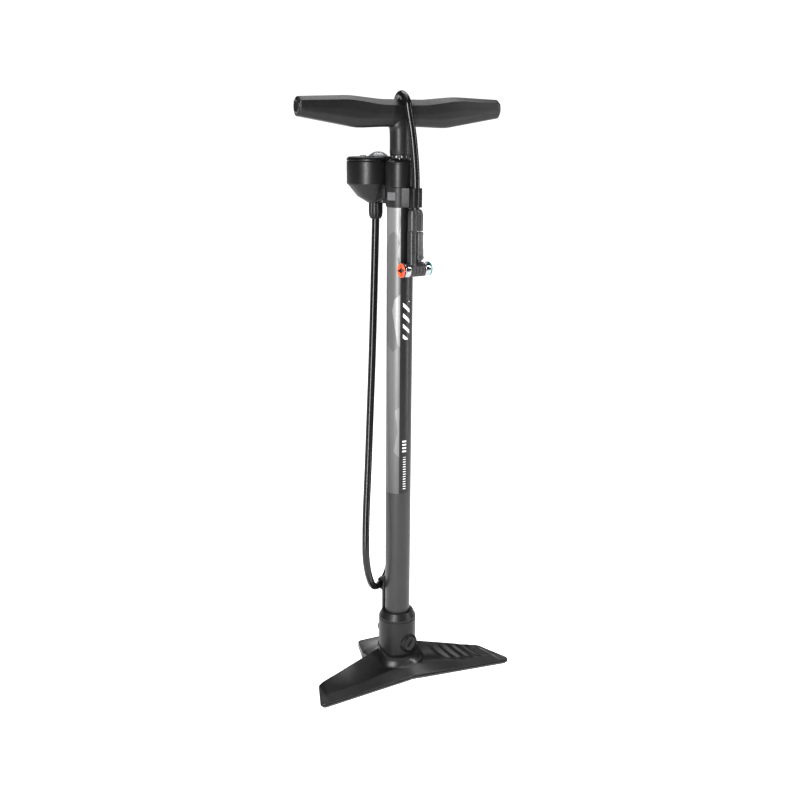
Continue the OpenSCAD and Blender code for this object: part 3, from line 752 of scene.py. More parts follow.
def choose_finish(obj, choose, place=Matrix()):
    """Gives each face the finish numbered choose(centre, normal). The
    centre is in millimetres in place's axes, the normal in the frame's."""
    inward = place.inverted()
    for face in obj.data.polygons:
        face.material_index = choose(inward @ (face.center / MM), face.normal)


# ---- hose ----

HOSE_DIAMETER = 0.0088
HOSE_PATH = [
    (-0.016, 0.03, 0.556), (-0.016, 0.03, 0.545), (-0.018, 0.028, 0.5),
    (-0.022, 0.023, 0.44), (-0.026, 0.0185, 0.38), (-0.0305, 0.014, 0.32),
    (-0.0355, 0.0085, 0.26), (-0.041, 0.002, 0.2065),
    (-0.0445, -0.004, 0.1755), (-0.0455, -0.0065, 0.155),
    (-0.043, -0.005, 0.1375), (-0.0385, -0.002, 0.1225),
    (-0.032, 0.0035, 0.1105), (-0.024, 0.0105, 0.1045),
    (-0.0152, 0.0182, 0.103), (-0.006, 0.026, 0.1045), (0.002, 0.0325, 0.1105),
    (0.0085, 0.038, 0.1225), (0.013, 0.042, 0.1375), (0.0155, 0.044, 0.155),
    (0.0165, 0.0445, 0.1835), (0.016, 0.0415, 0.26), (0.0145, 0.036, 0.36),
    (0.012, 0.03, 0.46), (0.01, 0.0245, 0.56), (0.009, 0.0228, 0.612),
    (0.0065, 0.0219, 0.64), (0.0044, 0.0182, 0.664), (0.0034, 0.0158, 0.6732),
    (0.0018, 0.0091, 0.6798), (0.0004, 0, 0.6823), (-0.0002, -0.0091, 0.6798),
    (-0.0002, -0.0158, 0.6732), (0.0004, -0.0182, 0.664),
    (0.003, -0.0216, 0.642), (0.0052, -0.0228, 0.62), (0.0065, -0.0234, 0.602),
    (0.007, -0.0238, 0.586), (0.007, -0.0238, 0.565), (0.007, -0.0238, 0.548),
]
HOSE_SPLIT = 0.620  # the loop over the handle is the part above this height


def smooth_route(points, steps):
    """The line through the points, with steps stretches between each two."""
    knots = [Vector(p) for p in points]
    knots = [knots[0]] + knots + [knots[-1]]
    line = []
    for a, b, c, d in zip(knots, knots[1:], knots[2:], knots[3:]):
        for k in range(steps):
            t = k / steps
            line.append(0.5 * (2 * b + (c - a) * t
                               + (2 * a - 5 * b + 4 * c - d) * t * t
                               + (3 * b - a - 3 * c + d) * t ** 3))
    return line + [knots[-1]]


def carried_sides(line):
    """A side vector at each point, carried along without twisting."""
    sides, side = [], Vector((1, 0, 0))
    for i in range(len(line)):
        along = (line[min(i + 1, len(line) - 1)] - line[max(i - 1, 0)]).normalized()
        side = (side - side.dot(along) * along).normalized()
        sides.append((side, along.cross(side)))
    return sides


def hose_stretch(name, line, sides, first, last):
    around = 28
    rings = []
    for i in range(first, last + 1):
        u, v = sides[i]
        rings.append([tuple((line[i] + HOSE_DIAMETER / 2 * (
            cos(TURN * k / around) * u + sin(TURN * k / around) * v))
            / MM) for k in range(around)])
    obj = loft(name, rings, sharp=60)
    obj.data.materials.append(FINISH["hose"])
    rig.replaces(obj, "hose")
    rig.slot(obj, "hose_rubber")
    return obj


def length_of(line):
    return sum((b - a).length for a, b in zip(line, line[1:]))


def add_hose(chuck_pieces):
    line = smooth_route(HOSE_PATH, 8)
    sides = carried_sides(line)
    high = [i for i, p in enumerate(line) if p.z > HOSE_SPLIT]
    up, down = high[0], high[-1]
    rear = hose_stretch("HoseRear", line, sides, 0, up)
    over = hose_stretch("HoseOver", line, sides, up, down)
    front = hose_stretch("HoseFront", line, sides, down, len(line) - 1)
    low, top = (0, 0, 0.600), (0, 0, 0.617)
    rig.blend(rear, "barrel", "piston", low, top)
    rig.blend(front, "barrel", "piston", low, top)
    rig.blend(over, "piston", "handle", (0, 0, 0.622), (0, 0, 0.646))
    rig.cord(rear, exit=HOSE_PATH[0], length=length_of(line[:up + 1]),
            diameter=HOSE_DIAMETER, far_end="object", stiffness="stiff",
            lay="hanging", path=line[:up + 1])
    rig.cord(over, exit=line[up], length=length_of(line[up:down + 1]),
            diameter=HOSE_DIAMETER, far_end="object", stiffness="stiff",
            lay="hanging", path=line[up:down + 1])
    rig.cord(front, exit=line[down], length=length_of(line[down:]),
            diameter=HOSE_DIAMETER, far_end="fitting", stiffness="stiff",
            lay="hanging", path=line[down:], with_pieces=chuck_pieces)


# ---- handle ----

def bent_line(x, knots, spread):
    """Height at x on the line through the knots, its bends made soft."""
    total, tries = 0, 9
    for k in range(tries):
        at = abs(x + spread * (2 * k / (tries - 1) - 1))
        for (x0, v0), (x1, v1) in zip(knots, knots[1:]):
            if at <= x1 or (x1, v1) == knots[-1]:
                total += v0 + (v1 - v0) * (at - x0) / (x1 - x0)
                break
    return total / tries


GRIP_TOP = [(0, 677), (26, 677), (62, 680.3), (70, 680.3), (124, 678.3)]
GRIP_UNDER = [(0, 648), (26, 647.6), (51, 646.6), (56, 646.9), (124, 658.2)]
GRIP_HALF = [(0, 13), (30, 13.2), (60, 12.9), (124, 10.6)]
GRIP_SLOPE = [(0, 6.6), (30, 6.4), (62, 4.8), (124, 4.4)]
GRIP_END, GRIP_ROUND = 122.2, 3.5
CAP_Z = 668.3


def grip_section(x):
    """The grip's outline in y and z: a ridge on top, a slope down to a
    crease on each side, full sides and a rounded underside."""
    top, under = bent_line(x, GRIP_TOP, 5), bent_line(x, GRIP_UNDER, 4)
    half, drop = bent_line(x, GRIP_HALF, 10), bent_line(x, GRIP_SLOPE, 10)
    crease, tall = top - drop, top - under
    right = [(3.2, top, 3), (half * 0.9, crease, 0.8),
             (half, crease - 0.3 * tall, 9), (half * 0.93, under + 0.28 * tall, 9),
             (half * 0.55, under, 6)]
    outline = right + [(-p[0], p[1], p[2]) for p in reversed(right)]
    line = []
    for i in range(len(outline)):
        around = [outline[i - 1], outline[i], outline[(i + 1) % len(outline)]]
        line += rounded_corner(*around, 6)
    return line


def rounded_corner(before, corner, after, steps):
    """The round corner in steps stretches, always the same number."""
    here, radius = Vector(corner[:2]), corner[2]
    back, on = Vector(before[:2]) - here, Vector(after[:2]) - here
    a, b = back.normalized(), on.normalized()
    half = a.angle(b) / 2
    cut = min(radius / tan(half), 0.46 * back.length, 0.46 * on.length)
    points = []
    for k in range(steps + 1):
        t = k / steps
        p = ((1 - t) ** 2 * (here + a * cut) + 2 * t * (1 - t) * here
             + t * t * (here + b * cut))
        points.append((p.x, p.y))
    return points


def grip_end(side):
    """Rings from one end of the grip, rounded, into the cap's recess."""
    full, rings = GRIP_END - GRIP_ROUND, []
    section = grip_section(side * full)
    for k in range(1, 7):
        a = pi / 2 * k / 6
        rings.append([(side * (full + GRIP_ROUND * sin(a)), y, z)
                      for y, z in inset(section, 1.5 * (1 - cos(a)))])
    angles = [atan2(z - CAP_Z, y) for _, y, z in rings[-1]]
    for x, r in ((GRIP_END - 0.05, 8.25), (GRIP_END - 0.3, 8.1), (118.6, 8.1)):
        rings.append([(side * x, r * cos(a), CAP_Z + r * sin(a)) for a in angles])
    return rings


def add_handle():
    full = GRIP_END - GRIP_ROUND
    stations = [full * (k / 56) for k in range(-56, 57)]
    rings = [[(x, y, z) for y, z in grip_section(x)] for x in stations]
    grip = loft("Grip", grip_end(-1)[::-1] + rings + grip_end(1), sharp=50)
    neck = loft("Neck", [oval(rx, ry, z, 96) for z, rx, ry in neck_sizes()])
    dress(join(grip, neck, sharp=30), "handle_grip", "handle_plastic", "handle", body="handle")

    caps = [turned("GripCaps", [
        (7.95, 118.7, 0.3), (7.95, 122.6, 0.9), (6.2, 123.45, 0.8), (5.2, 123.1, 0.5),
        (0, 123.3)], facing_x(Matrix.Translation((0, 0, CAP_Z)), side), 64) for side in (-1, 1)]
    dress(join(*caps), "handle_end_caps", "cap_plastic", "cap", body="handle")


def add_rod_bumper():
    """The ring under the neck, with notches that are pale inside."""
    ring = turned_ring("RodBumper", [
        (6.05, 613.65, 0.2), (11.6, 613.65, 0.5), (11.8, 616, 0.2), (11.8, 618.55, 0.5),
        (6.05, 618.55, 0.2)])
    carve(ring, *(prism("Notch", rectangle(2.8, 1.7, 0.4, 11.9, 0), 615.1, 617.1,
                        at_azimuth(30 * k + 8), 0) for k in range(12)))

    def pale(centre, normal):
        x, y, z = centre
        return int(hypot(x, y) < 10.8 and 615.15 < z < 617.05
                   and normal.x * x + normal.y * y > 0)

    choose_finish(ring, pale)
    dress(ring, "rod_bumper", "seal_rubber", "bumper", "inner", body="handle")


def neck_sizes():
    """Height and half-widths of the neck, flared where it meets the bar."""
    sizes = [(618.6, 11.6, 11.6), (618.75, 12, 12), (619.2, 12.2, 12.2),
             (628, 12.15, 12.15), (636, 12.2, 12.2), (640, 12.3, 12.25)]
    for k in range(0, 9):
        a = pi / 2 * k / 8
        sizes.append((642 + 6.4 * sin(a), 12.4 + 2.6 * (1 - cos(a)),
                      12.3 + 0.55 * (1 - cos(a))))
    return sizes + [(656, 14.8, 12.4)]


# ---- foot ----

SOLE_TOP = 2.2
FRONT_EDGE = [(0, -46.5), (128.6, -61.9)]
STRIP_WIDTH = 17.5
RIDGE = [(0, 3, 25.2), (24, 3, 25.2), (112, -17.5, 8), (132, -22.4, 4)]
FLUTES, FLUTE_STEP, FLUTE_START, FLUTE_DEPTH = 6, 10.4, 40.3, 1.15
FLUTE_ACROSS = (0.927, 0.375)
LEG_HALF, LEG_END, LEG_CORNER = 21.5, 58, 4


def along(points, x):
    """The other coordinates at x on a line of points sorted by x."""
    for a, b in zip(points, points[1:]):
        if x <= b[0] or b == points[-1]:
            t = (x - a[0]) / max(1e-9, b[0] - a[0])
            return [p + (q - p) * t for p, q in zip(a[1:], b[1:])]


def wing_height(x, y):
    right, x = x > 0, abs(x)
    front = bent_line(x, FRONT_EDGE, 4)
    crease = front + STRIP_WIDTH
    ridge_y, ridge_z = along(RIDGE, x)
    slope = 0.04 + 0.3 * smooth(1.15 - x / 70)
    base = 6.2 + slope * min(y - front, STRIP_WIDTH)
    share = max(0, (y - crease) / (ridge_y - crease))
    top = base + (ridge_z - base) * share ** (1.15 + 1.9 * smooth(1.3 - x / 60))
    if share > 1:
        top = ridge_z - (y - ridge_y) * 0.9
    turn = (x * FLUTE_ACROSS[0] + y * FLUTE_ACROSS[1] - FLUTE_START) / FLUTE_STEP
    if right and -0.5 < turn < FLUTES - 0.5:
        ends = smooth(share / 0.2) * smooth((0.99 - share) / 0.14)
        top -= FLUTE_DEPTH * ends * (0.5 + 0.5 * cos(TURN * turn)) ** 1.2
    facet = 0.985 * (x - 107.4) + 0.176 * (y + 20.8)
    return max(top - 0.3 * max(0, facet), 6.15)


def leg_height(x, y):
    near = smooth((61 - y) / 45)
    return 9.0 + 15.5 * smooth((61 - y) / 62) ** 0.85 - 0.014 * near * x * x


def edge_distance(outline, x, y):
    best = 1e9
    for (ax, ay), (bx, by) in zip(outline, outline[1:] + outline[:1]):
        dx, dy = bx - ax, by - ay
        t = max(0, min(1, ((x - ax) * dx + (y - ay) * dy)
                       / max(1e-9, dx * dx + dy * dy)))
        best = min(best, hypot(ax + t * dx - x, ay + t * dy - y))
    return best


def moulded_slab(name, stations, front, back, ridge, height, floor):
    """A slab whose top is height(x, y), between the front and back lines,
    with rounded rims, a grooved skirt and a flat underside. A row of its
    edges follows the ridge line."""
    outline = ([(x, front(x)) for x in stations]
               + [(x, back(x)) for x in reversed(stations)])
    near = [0, 0.3, 0.7, 1.3, 2.2, 4, 7, 10, 13, 15.5, 16.8, 17.6, 18.4, 20]
    far = [4.5, 2.6, 1.5, 0.8, 0.3, 0]
    rim, half = 0.8, 12
    verts, columns = [], len(near) + 2 * half + len(far)
    for x in stations:
        low, high = front(x), back(x)
        wide = max(high - low, 34)
        first, last = near[-1], wide - far[0]
        top = max(first + 2, min(last - 1, (ridge(x) - low) * wide / (high - low)))
        cuts = near + [first + (top - first) * (k + 1) / half for k in range(half)]
        cuts += [top + (last - top) * (k + 1) / (half + 1) for k in range(half)]
        for cut in cuts + [wide - d for d in far]:
            y = low + cut * (high - low) / wide
            z = height(x, y)
            d = edge_distance(outline, x, y)
            if d < rim:
                z -= rim - sqrt(rim * rim - (rim - d) ** 2)
            verts.append((x, y, z))
    last = len(stations) - 1
    faces = [(i * columns + k, (i + 1) * columns + k, (i + 1) * columns + k + 1,
              i * columns + k + 1) for i in range(last) for k in range(columns - 1)]
    loop = [i * columns for i in range(last + 1)]
    loop += [last * columns + k for k in range(1, columns)]
    loop += [i * columns + columns - 1 for i in range(last - 1, -1, -1)]
    loop += list(range(columns - 2, 0, -1))
    rim_points = [verts[i][:2] for i in loop]
    for z, into in ((5.3, 0), (5.2, 0.15), (5.1, 1.7), (4.2, 1.7), (4.15, 0.5), (3.8, 0),
                    (floor + 0.5, 0), (floor + 0.15, 0.3), (floor, 0.4)):
        ring = list(range(len(verts), len(verts) + len(loop)))
        verts += [(x, y, z) for x, y in inset(rim_points, into)]
        faces += [(loop[k - 1], loop[k], ring[k], ring[k - 1]) for k in range(len(loop))]
        loop = ring
    faces.append(tuple(loop))
    return add_mesh(name, verts, faces, sharp=45)


def leg_slab():
    """The rear leg: a slab that widens towards the hub."""
    side = [LEG_CORNER * (1 - cos(pi / 2 * k / 8)) - LEG_HALF - LEG_CORNER for k in range(8)]
    stations = side + [2 * LEG_HALF * k / 22 - LEG_HALF for k in range(23)]
    stations += [-x for x in reversed(side)]

    def end(x):
        reach = max(0, abs(x) - LEG_HALF)
        return LEG_END + sqrt(max(0, LEG_CORNER ** 2 - reach * reach))

    leg = moulded_slab("Leg", stations, lambda x: 2, end, lambda x: 38, leg_height, 2.25)
    for vertex in leg.data.vertices:
        vertex.co.x *= 1 + 0.0108 * (61 - max(28, vertex.co.y / MM))
    return leg


def add_foot():
    half = fillet([(0, -46.5), (128.8, -61.95, 5.5), (112.5, -17.2, 1.2), (40, 8, 6), (0, 24)],
                  step=8)
    tip = max(range(len(half)), key=lambda i: half[i][0])
    front_line, back_line = sorted(half[:tip + 1]), sorted(half[tip:])
    tip_x = half[tip][0] - 0.02

    def front(x):
        return along(front_line, abs(x))[0] + 0.4 * exp(-(x / 7) ** 2)

    def back(x):
        return along(back_line, abs(x))[0]

    right = ([2.0 * k for k in range(48)] + [96 + k for k in range(20)]
             + [116 + (tip_x - 116) * sin(pi / 2 * k / 14) for k in range(15)])
    stations = [-x for x in reversed(right[1:])] + right
    foot = moulded_slab("Foot", stations, front, back, lambda x: along(RIDGE, abs(x))[0],
                        wing_height, SOLE_TOP)
    join(foot, leg_slab(), sharp=45)
    join(foot, hub_ring(), sharp=45)
    carve(foot, drill(22.7, 14.02, 40, steps=144), sharp=45)

    def skirt(centre, normal):
        x, y, z = centre
        if not 2.6 < z < 5.25 or hypot(x, y) <= 34.5:
            return 0
        return 1 if z < 4.17 else 2

    choose_finish(foot, skirt)
    dress(foot, "base_foot", "foot_plastic", "foot", "trim", "groove")
    add_sole(foot_outline(front, back, stations))


def hub_ring():
    """The flared ring round the socket's foot, lower across the front."""
    low, rings = 8.4, []
    for i in range(-1, 22):
        t, ring = max(0, min(1, i / 18)), []
        for k in range(144):
            a = TURN * k / 144
            side = smooth((abs(degrees(atan2(
                cos(a), -sin(a)))) - 45) / 55)
            high = 22.4 + 6.2 * side
            round_out = max(0, 1 - t ** 2.4) ** 0.62
            r = 23.6 + 10.0 * ((1 - side) * round_out + side * (1 - t) ** 1.7)
            z = low + t * (high - low)
            if i < 0:
                z = 2.6
            if i > 18:
                r, z = (23.2, 22.9, 20)[i - 19], high + (0.1, 0, -0.6)[i - 19]
            ring.append((r * cos(a), r * sin(a), z))
        rings.append(ring)
    return loft("Hub", rings, sharp=45)


def foot_outline(front, back, stations):
    behind = [(x, back(x)) for x in stations[::-3] if abs(x) > 38]
    leg = arc(21.5, 57.5, 4, 0, 90, 5) + arc(-21.5, 57.5, 4, 90, 180, 5)
    return ([(x, front(x)) for x in stations[::3]] + [p for p in behind if p[0] > 0]
            + leg + [p for p in behind if p[0] < 0])


def add_sole(outline):
    """A rubber sole with shallow ribs underneath."""
    sole = prism("Sole", inset(outline, 2), 0.35, 2.15, edge=0.25)
    ribs = []
    for k in range(-9, 10):
        x = 12.0 * k
        low = -46.5 - 0.128 * abs(x) + 6
        high = 54 if abs(x) < 20 else 8 - max(0, abs(x) - 30) * 0.32
        ribs.append(prism("Rib", rectangle(5.5, high - low, 1.2, x, (low + high) / 2),
                          0, 1, edge=0.2))
    dress(join(sole, *ribs), "rubber_sole", "sole_rubber", "sole")


# ---- base fittings ----

PLUG_PLACE = facing_x(at_azimuth(-77, 0, 37))
HOOK_AZIMUTH = 130


def add_socket():
    socket = turned_ring("Socket", [
        (15.08, 52), (15.08, 74.2, 0.3), (16.6, 75, 0.4), (18.7, 75, 0.8), (22.55, 67.4, 0.9),
        (22.6, 65.8, 0.15), (21.9, 65.5, 0.1), (21.9, 64.5, 0.1), (22.6, 64.2, 0.2),
        (22.6, 14.6, 0.4), (22.1, 14.05, 0.2), (9.1, 14.05), (9.1, 52)], steps=144)
    join(socket, turned("Boss", [(11.6, 16), (11.5, 24, 0.9), (10.6, 24.8, 0.5), (0, 24.8)],
                        PLUG_PLACE))
    carve(socket, drill(10.5, 19.5, 30, PLUG_PLACE), drill(7.6, 5, 30, PLUG_PLACE))
    carve(socket, prism("Slot", rectangle(3.8, 8.2, 0.3), 41, 80, at_azimuth(HOOK_AZIMUTH, 17.2),
                        0))
    bevel(socket, 0.35, 2, 50)
    choose_finish(socket, lambda centre, normal: int(
        19 < centre.z < 24.6 and hypot(*centre.xy) < 10.55), PLUG_PLACE)
    dress(socket, "base_socket", "head_plastic", "socket", "groove")


def add_plug():
    plug = turned("ServicePlug", [
        (7.4, 11, 0.3), (7.4, 22.7), (9.25, 22.7, 0.3), (9.3, 24.8, 0.5), (8.3, 25.25, 0.5),
        (7.7, 24.9, 0.3), (0, 25.1)], PLUG_PLACE)
    slot = [(-x, y) for x, y in rectangle(1.8, 9.6, 0.8)]
    carve(plug, prism("Coin", slot, 23.4, 27, spun(PLUG_PLACE, 50), 0))
    bevel(plug, 0.2, 2, 50)
    dress(plug, "service_plug", "grey_plastic", "socket")


def add_hook():
    hook = prism("HoseHook", fillet([
        (0.1, 42), (3.6, 42, 0.8), (3.6, 98.1, 2), (9, 98.1, 1.4), (9.2, 100.1, 0.6),
        (4, 100.7, 1), (3.9, 105, 2.6), (6, 107.9, 2.5), (9.4, 108.9, 1),
        (9.2, 111.7, 1.2), (3, 113.5, 3), (0.1, 113.1, 0.5)], closed=True),
        -3.9, 3.9, facing_y(at_azimuth(HOOK_AZIMUTH, 15.4)), 0.7)
    dress(hook, "hose_hook", "dark_plastic", "socket")

    place = facing_x(at_azimuth(HOOK_AZIMUTH, 0, 47.5))
    screw = turned("HookScrew", [
        (1.8, 14.1, 0.2), (1.8, 22.65), (4.7, 22.65, 0.2), (4.6, 24.4, 1.1), (2.6, 25.5, 0.6),
        (0, 25.6)], place, 64)
    carve(screw, prism("Hex", [p[:2] for p in oval(2, 2, 0, 6)], 23.7, 27, place, 0))
    bevel(screw, 0.12, 2, 50)
    dress(screw, "hook_screw", "black_steel", "blackened")


def add_spring():
    """The valve's coil spring, with closed ends; it shortens under the ball."""
    low, high, mean, wire, coils, steps, sides = 26, 43.6, 2.6, 0.38, 11, 36, 10
    rings = []
    for k in range(coils * steps + 1):
        turn = k / steps
        rise = max(0, min(1, (turn - 0.9) / (coils - 1.8)))
        ends = 0.05 * min(turn, 0.9) + 0.05 * max(0, turn - coils + 0.9)
        z = low + wire + (high - low - 2 * wire) * (ends + 0.9 * rise) / 0.99
        rings.append([((mean + r) * cos(TURN * turn), (mean + r) * sin(TURN * turn), z + up)
                      for r, up, _ in oval(wire, wire, 0, sides)])
    spring = loft("ValveSpring", rings, sharp=60)
    dress(spring, "valve_spring", "screw_steel", "steel")
    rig.squash(spring, "valve_lift", axis=(0, 0, 1), anchor=(0, 0, 0.026), keep=0.915)


# ---- head ----

CLIP = (7, -23.8)
CLIP_PLACE = Matrix.Translation((*CLIP, 0))
CLIP_AZIMUTH = degrees(atan2(CLIP[1], CLIP[0]))
COLLAR_LOW, COLLAR_HIGH = 561.6, 582.9
BADGE_AZIMUTH, GAUGE_AZIMUTH = -153, 118


def add_head():
    cap = turned_ring("HeadCap", [
        (6.55, 607.6), (6.55, 612.9, 0.3), (7.4, 613.3, 0.2), (11.4, 613.3, 0.8),
        (16.6, 610.2, 0.9), (16.8, 609.3, 0.1), (16.3, 609.05, 0.1), (16.3, 608.35, 0.1),
        (16.8, 608.1, 0.25), (16.8, 583.3, 0.3), (16.4, 582.95, 0.1), (15.08, 582.95),
        (15.08, 590.1), (8.05, 590.1), (8.05, 607.6)], steps=144)
    dress(cap, "head_cap", "head_plastic", "head")

    low, high = COLLAR_LOW + 0.05, COLLAR_HIGH - 0.1
    collar = turned_ring("Collar", [
        (15.08, low), (15.9, low, 0.2), (16.3, COLLAR_LOW + 0.5, 0.3),
        (16.3, COLLAR_HIGH - 0.55, 0.3), (15.9, high, 0.2), (15.08, high)], steps=144)
    web = prism("Web", fillet([
        (0, -10.2), (12.7, -10.2, 1.5), (20.3, -3.8, 0.6), (20.3, 3.8, 0.6), (12.7, 10.2, 1.5),
        (0, 10.2)], closed=True), low, high, at_azimuth(CLIP_AZIMUTH), 0.45)
    lug = prism("Lug", rectangle(9, 15.8, 1, 14.4, 0), COLLAR_LOW + 3, COLLAR_HIGH - 0.2,
                at_azimuth(GAUGE_AZIMUTH), 0.4)
    pocket = prism("Pocket", rectangle(3, 11.1, 0.3, 17.4, 0), 568.95, 578.05,
                   at_azimuth(BADGE_AZIMUTH), 0)
    join(collar, web, lug, sharp=30)
    carve(collar, drill(15.08, 550, 600, steps=144), drill(7.45, 550, 600, CLIP_PLACE), pocket,
          sharp=30)
    dress(collar, "top_collar", "head_plastic", "collar")

    outward = Matrix(((0, 0, 1, 0), (1, 0, 0, 0), (0, 1, 0, 0), (0, 0, 0, 1)))
    badge = prism("BadgePlate", rectangle(10.8, 8.8, 0.8), 15.95, 17,
                  at_azimuth(BADGE_AZIMUTH, 0, 573.5) @ outward, 0.25)
    dress(badge, "badge_plate", "grey_plastic", "grey")

    clip = prism("HoseClip", c_outline(4.65, 7.35, 62), low, COLLAR_HIGH - 0.05,
                 spun(CLIP_PLACE, CLIP_AZIMUTH), 0.4)
    dress(clip, "hose_clip", "dark_plastic", "dark")


def c_outline(inner, outer, gape):
    """A C that opens towards +x, with round ends."""
    middle, thick = (inner + outer) / 2, (outer - inner) / 2
    x, y = middle * cos(radians(-gape)), middle * sin(radians(-gape))
    return (arc(0, 0, outer, gape, 360 - gape, 44)
            + arc(x, y, thick, -gape + 20, 180 - gape - 20, 5)
            + arc(0, 0, inner, 360 - gape, gape, 44)
            + arc(x, -y, thick, gape - 160, gape - 20, 5))


# ---- gauge ----

GAUGE_OUT, LENS_OUT, KEY_OUT, NUT_OUT = 41.5, 30.5, 52, 34


def at_gauge(out=GAUGE_OUT):
    return at_azimuth(GAUGE_AZIMUTH, out)


def disc(r, out, z):
    return placed(at_gauge(out), oval(r, r, z, 72))


def barrel_room():
    """A cutter for the room that the head takes."""
    return drill(16.95, 550, 640, steps=144)


def add_gauge():
    body = turned("GaugeHousing", [
        (26.4, 584.5), (27, 585.9, 0.6), (27, 609.8, 0.3), (26.5, 610.15, 0.2),
        (25, 610.15), (25, 592), (0, 592)], at_gauge(), 144)
    spout = disc(9.3, NUT_OUT, 564.6)
    funnel = hull("Funnel", disc(26.7, GAUGE_OUT, 585.6) + disc(16.5, GAUGE_OUT - 2, 571.4)
                  + spout)
    web = hull("Web", spout + placed(at_gauge(0), [
        (x, y, z) for x in (13, 18) for y in (-10, 10) for z in (571, 585.6)]))
    lug = prism("LugRoom", rectangle(9.4, 16.2, 0.6, 14.5, 0), 550, 583.2, at_gauge(0), 0)
    join(body, bevel(funnel, 0.9, 3, 20, 30), bevel(web, 0.9, 3, 20, 30), sharp=30)
    carve(body, barrel_room(), lug, sharp=30)
    dress(body, "gauge_housing", "dark_plastic", "gauge")

    bezel = turned("GaugeBezel", [
        (26.6, 610.65, 0.3), (27, 611.2, 0.3), (27, 612.7, 0.8), (25.6, 614.7, 1.6),
        (23, 615.3, 0.8), (21.6, 614.9, 0.4), (0, 614.9)], at_gauge(), 144, 8)
    lip = turned_ring("LensLip", [
        (12.1, 614), (13.9, 614), (13.9, 615.1, 0.5), (12.9, 616, 0.5), (12.1, 616, 0.2)],
        at_gauge(LENS_OUT))
    key_hole = turned("KeyHole", [(4.9, 600), (4.9, 611.2), (3.75, 611.2), (3.75, 640), (0, 640)],
                      at_gauge(KEY_OUT), 64)
    join(bezel, lip, sharp=30)
    carve(bezel, drill(12.1, 600, 640, at_gauge(LENS_OUT)), key_hole, barrel_room(), sharp=30)
    dress(bezel, "gauge_bezel", "dark_plastic", "dark")

    lens = lathe("GaugeLens", [(10.6, 610.7), (12, 610.7)] + dome(12, 615.3, 6.15, 16)
                 + dome(10.6, 615.2, 4.9, 16)[::-1], at_gauge(LENS_OUT), 96, wrap=True)
    dress(lens, "gauge_lens", "lens_clear", "lens")


def dome(r, base, rise, steps):
    """The arc from a dome's rim to its top."""
    ball = (r * r + rise * rise) / (2 * rise)
    low = asin(min(1, (ball - rise) / ball))
    angles = [low + (pi / 2 - low) * k / steps for k in range(steps + 1)]
    return [(ball * cos(a), base + rise - ball + ball * sin(a)) for a in angles]


def add_display():
    """The display's panel, with three seven-stroke digits on it."""
    place = spun(at_gauge(LENS_OUT), 90)
    panel = prism("GaugeDisplay", rectangle(15.6, 11.6, 1), 604.8, 609.6, place, 0.3)
    wide, tall, thick, step = 3, 5.6, 0.55, 4.6
    strokes = []
    for digit in (-1, 0, 1):
        cx = digit * step
        levels = (1, -1, 0) if digit == 0 else (1, -1)
        spots = [(cx, level * tall / 2, wide - thick, thick) for level in levels]
        spots += [(cx + sx * wide / 2, sy * tall / 4, thick, tall / 2 - thick)
                  for sx in (-1, 1) for sy in (-1, 1)]
        strokes += [prism("Stroke", rectangle(w, d, 0.1, x, y), 609.5, 609.75, place, 0)
                    for x, y, w, d in spots]
    dress(merge(panel, strokes), "display_panel", "display", "screen", "ink")


def add_button():
    key = turned("GaugeButton", [
        (4.5, 608.5, 0.2), (4.5, 610.1, 0.2), (3.45, 610.1), (3.45, 616.2, 0.7),
        (2.6, 616.85, 0.5), (0, 616.5)], at_gauge(KEY_OUT), 64)
    dress(key, "gauge_button", "grey_plastic", "button", body="gauge_button")


def add_nut():
    """The fluted nut that holds the hose, round at its foot."""
    profile = fillet([(4.55, 547.4), (4.7, 546.6, 0.3), (5.9, 546.6, 0.8), (7.5, 549.6, 3.5),
                      (8, 553.5, 3), (8, 564.5)], step=8)
    rings = []
    for r, z in profile:
        deep, ring = 0.9 * smooth((r - 5.6) / 2), []
        for k in range(96):
            a = TURN * k / 96
            reach = r - deep * max(0, cos(8 * a)) ** 2.2
            ring.append((reach * cos(a), reach * sin(a), z))
        rings.append(placed(at_gauge(NUT_OUT), ring))
    dress(loft("OutletNut", rings, sharp=40), "outlet_nut", "dark_plastic", "dark")


# ---- chuck ----

CHUCK = spun(CLIP_PLACE, 7)
HEAD_Z, PIN_Z = 493.5, 507.5
COLUMN_X, LEVER_X = -4.4, 4.8
LOBE_OUT = 3.7


def chuck_axis(side=1):
    """Profiles turned about the head's axis, towards one port."""
    return facing_x(CHUCK @ Matrix.Translation((0, 0, HEAD_Z)), side)


def pin_axis():
    return (CHUCK @ Matrix.Translation((LEVER_X, 0, PIN_Z))
            @ Matrix.Rotation(pi / 2, 4, "X"))


def add_sleeve():
    """The grip: two round lobes and a core round the hose's end."""
    sleeve, lobe = [turned("ChuckSleeve", [
        (5, 536.05, 0.3), (5.4, 536.7, 0.3), (5.4, 553.5, 3), (4.3, 558.4, 2.2),
        (2.6, 559.9, 1.2), (0, 559.95)], CHUCK @ Matrix.Translation((x, 0, 0)))
        for x in (-LOBE_OUT, LOBE_OUT)]
    join(sleeve, lobe, sharp=45)
    join(sleeve, turned("Core", [(5.2, 536.4), (5.2, 558, 1.5), (4.9, 560, 0.4), (0, 560)],
                        CHUCK, 64), sharp=45)
    grooves = [prism("Groove", rectangle(0.9, 1.5, 0.2, 0.4, y), 530, 556.5, CHUCK, 0)
               for y in (-5.6, 5.6)]
    carve(sleeve, drill(4.48, 548, 580, CHUCK, 64), *grooves, sharp=45)
    return dress(sleeve, "chuck_sleeve", "head_plastic", "chuck")


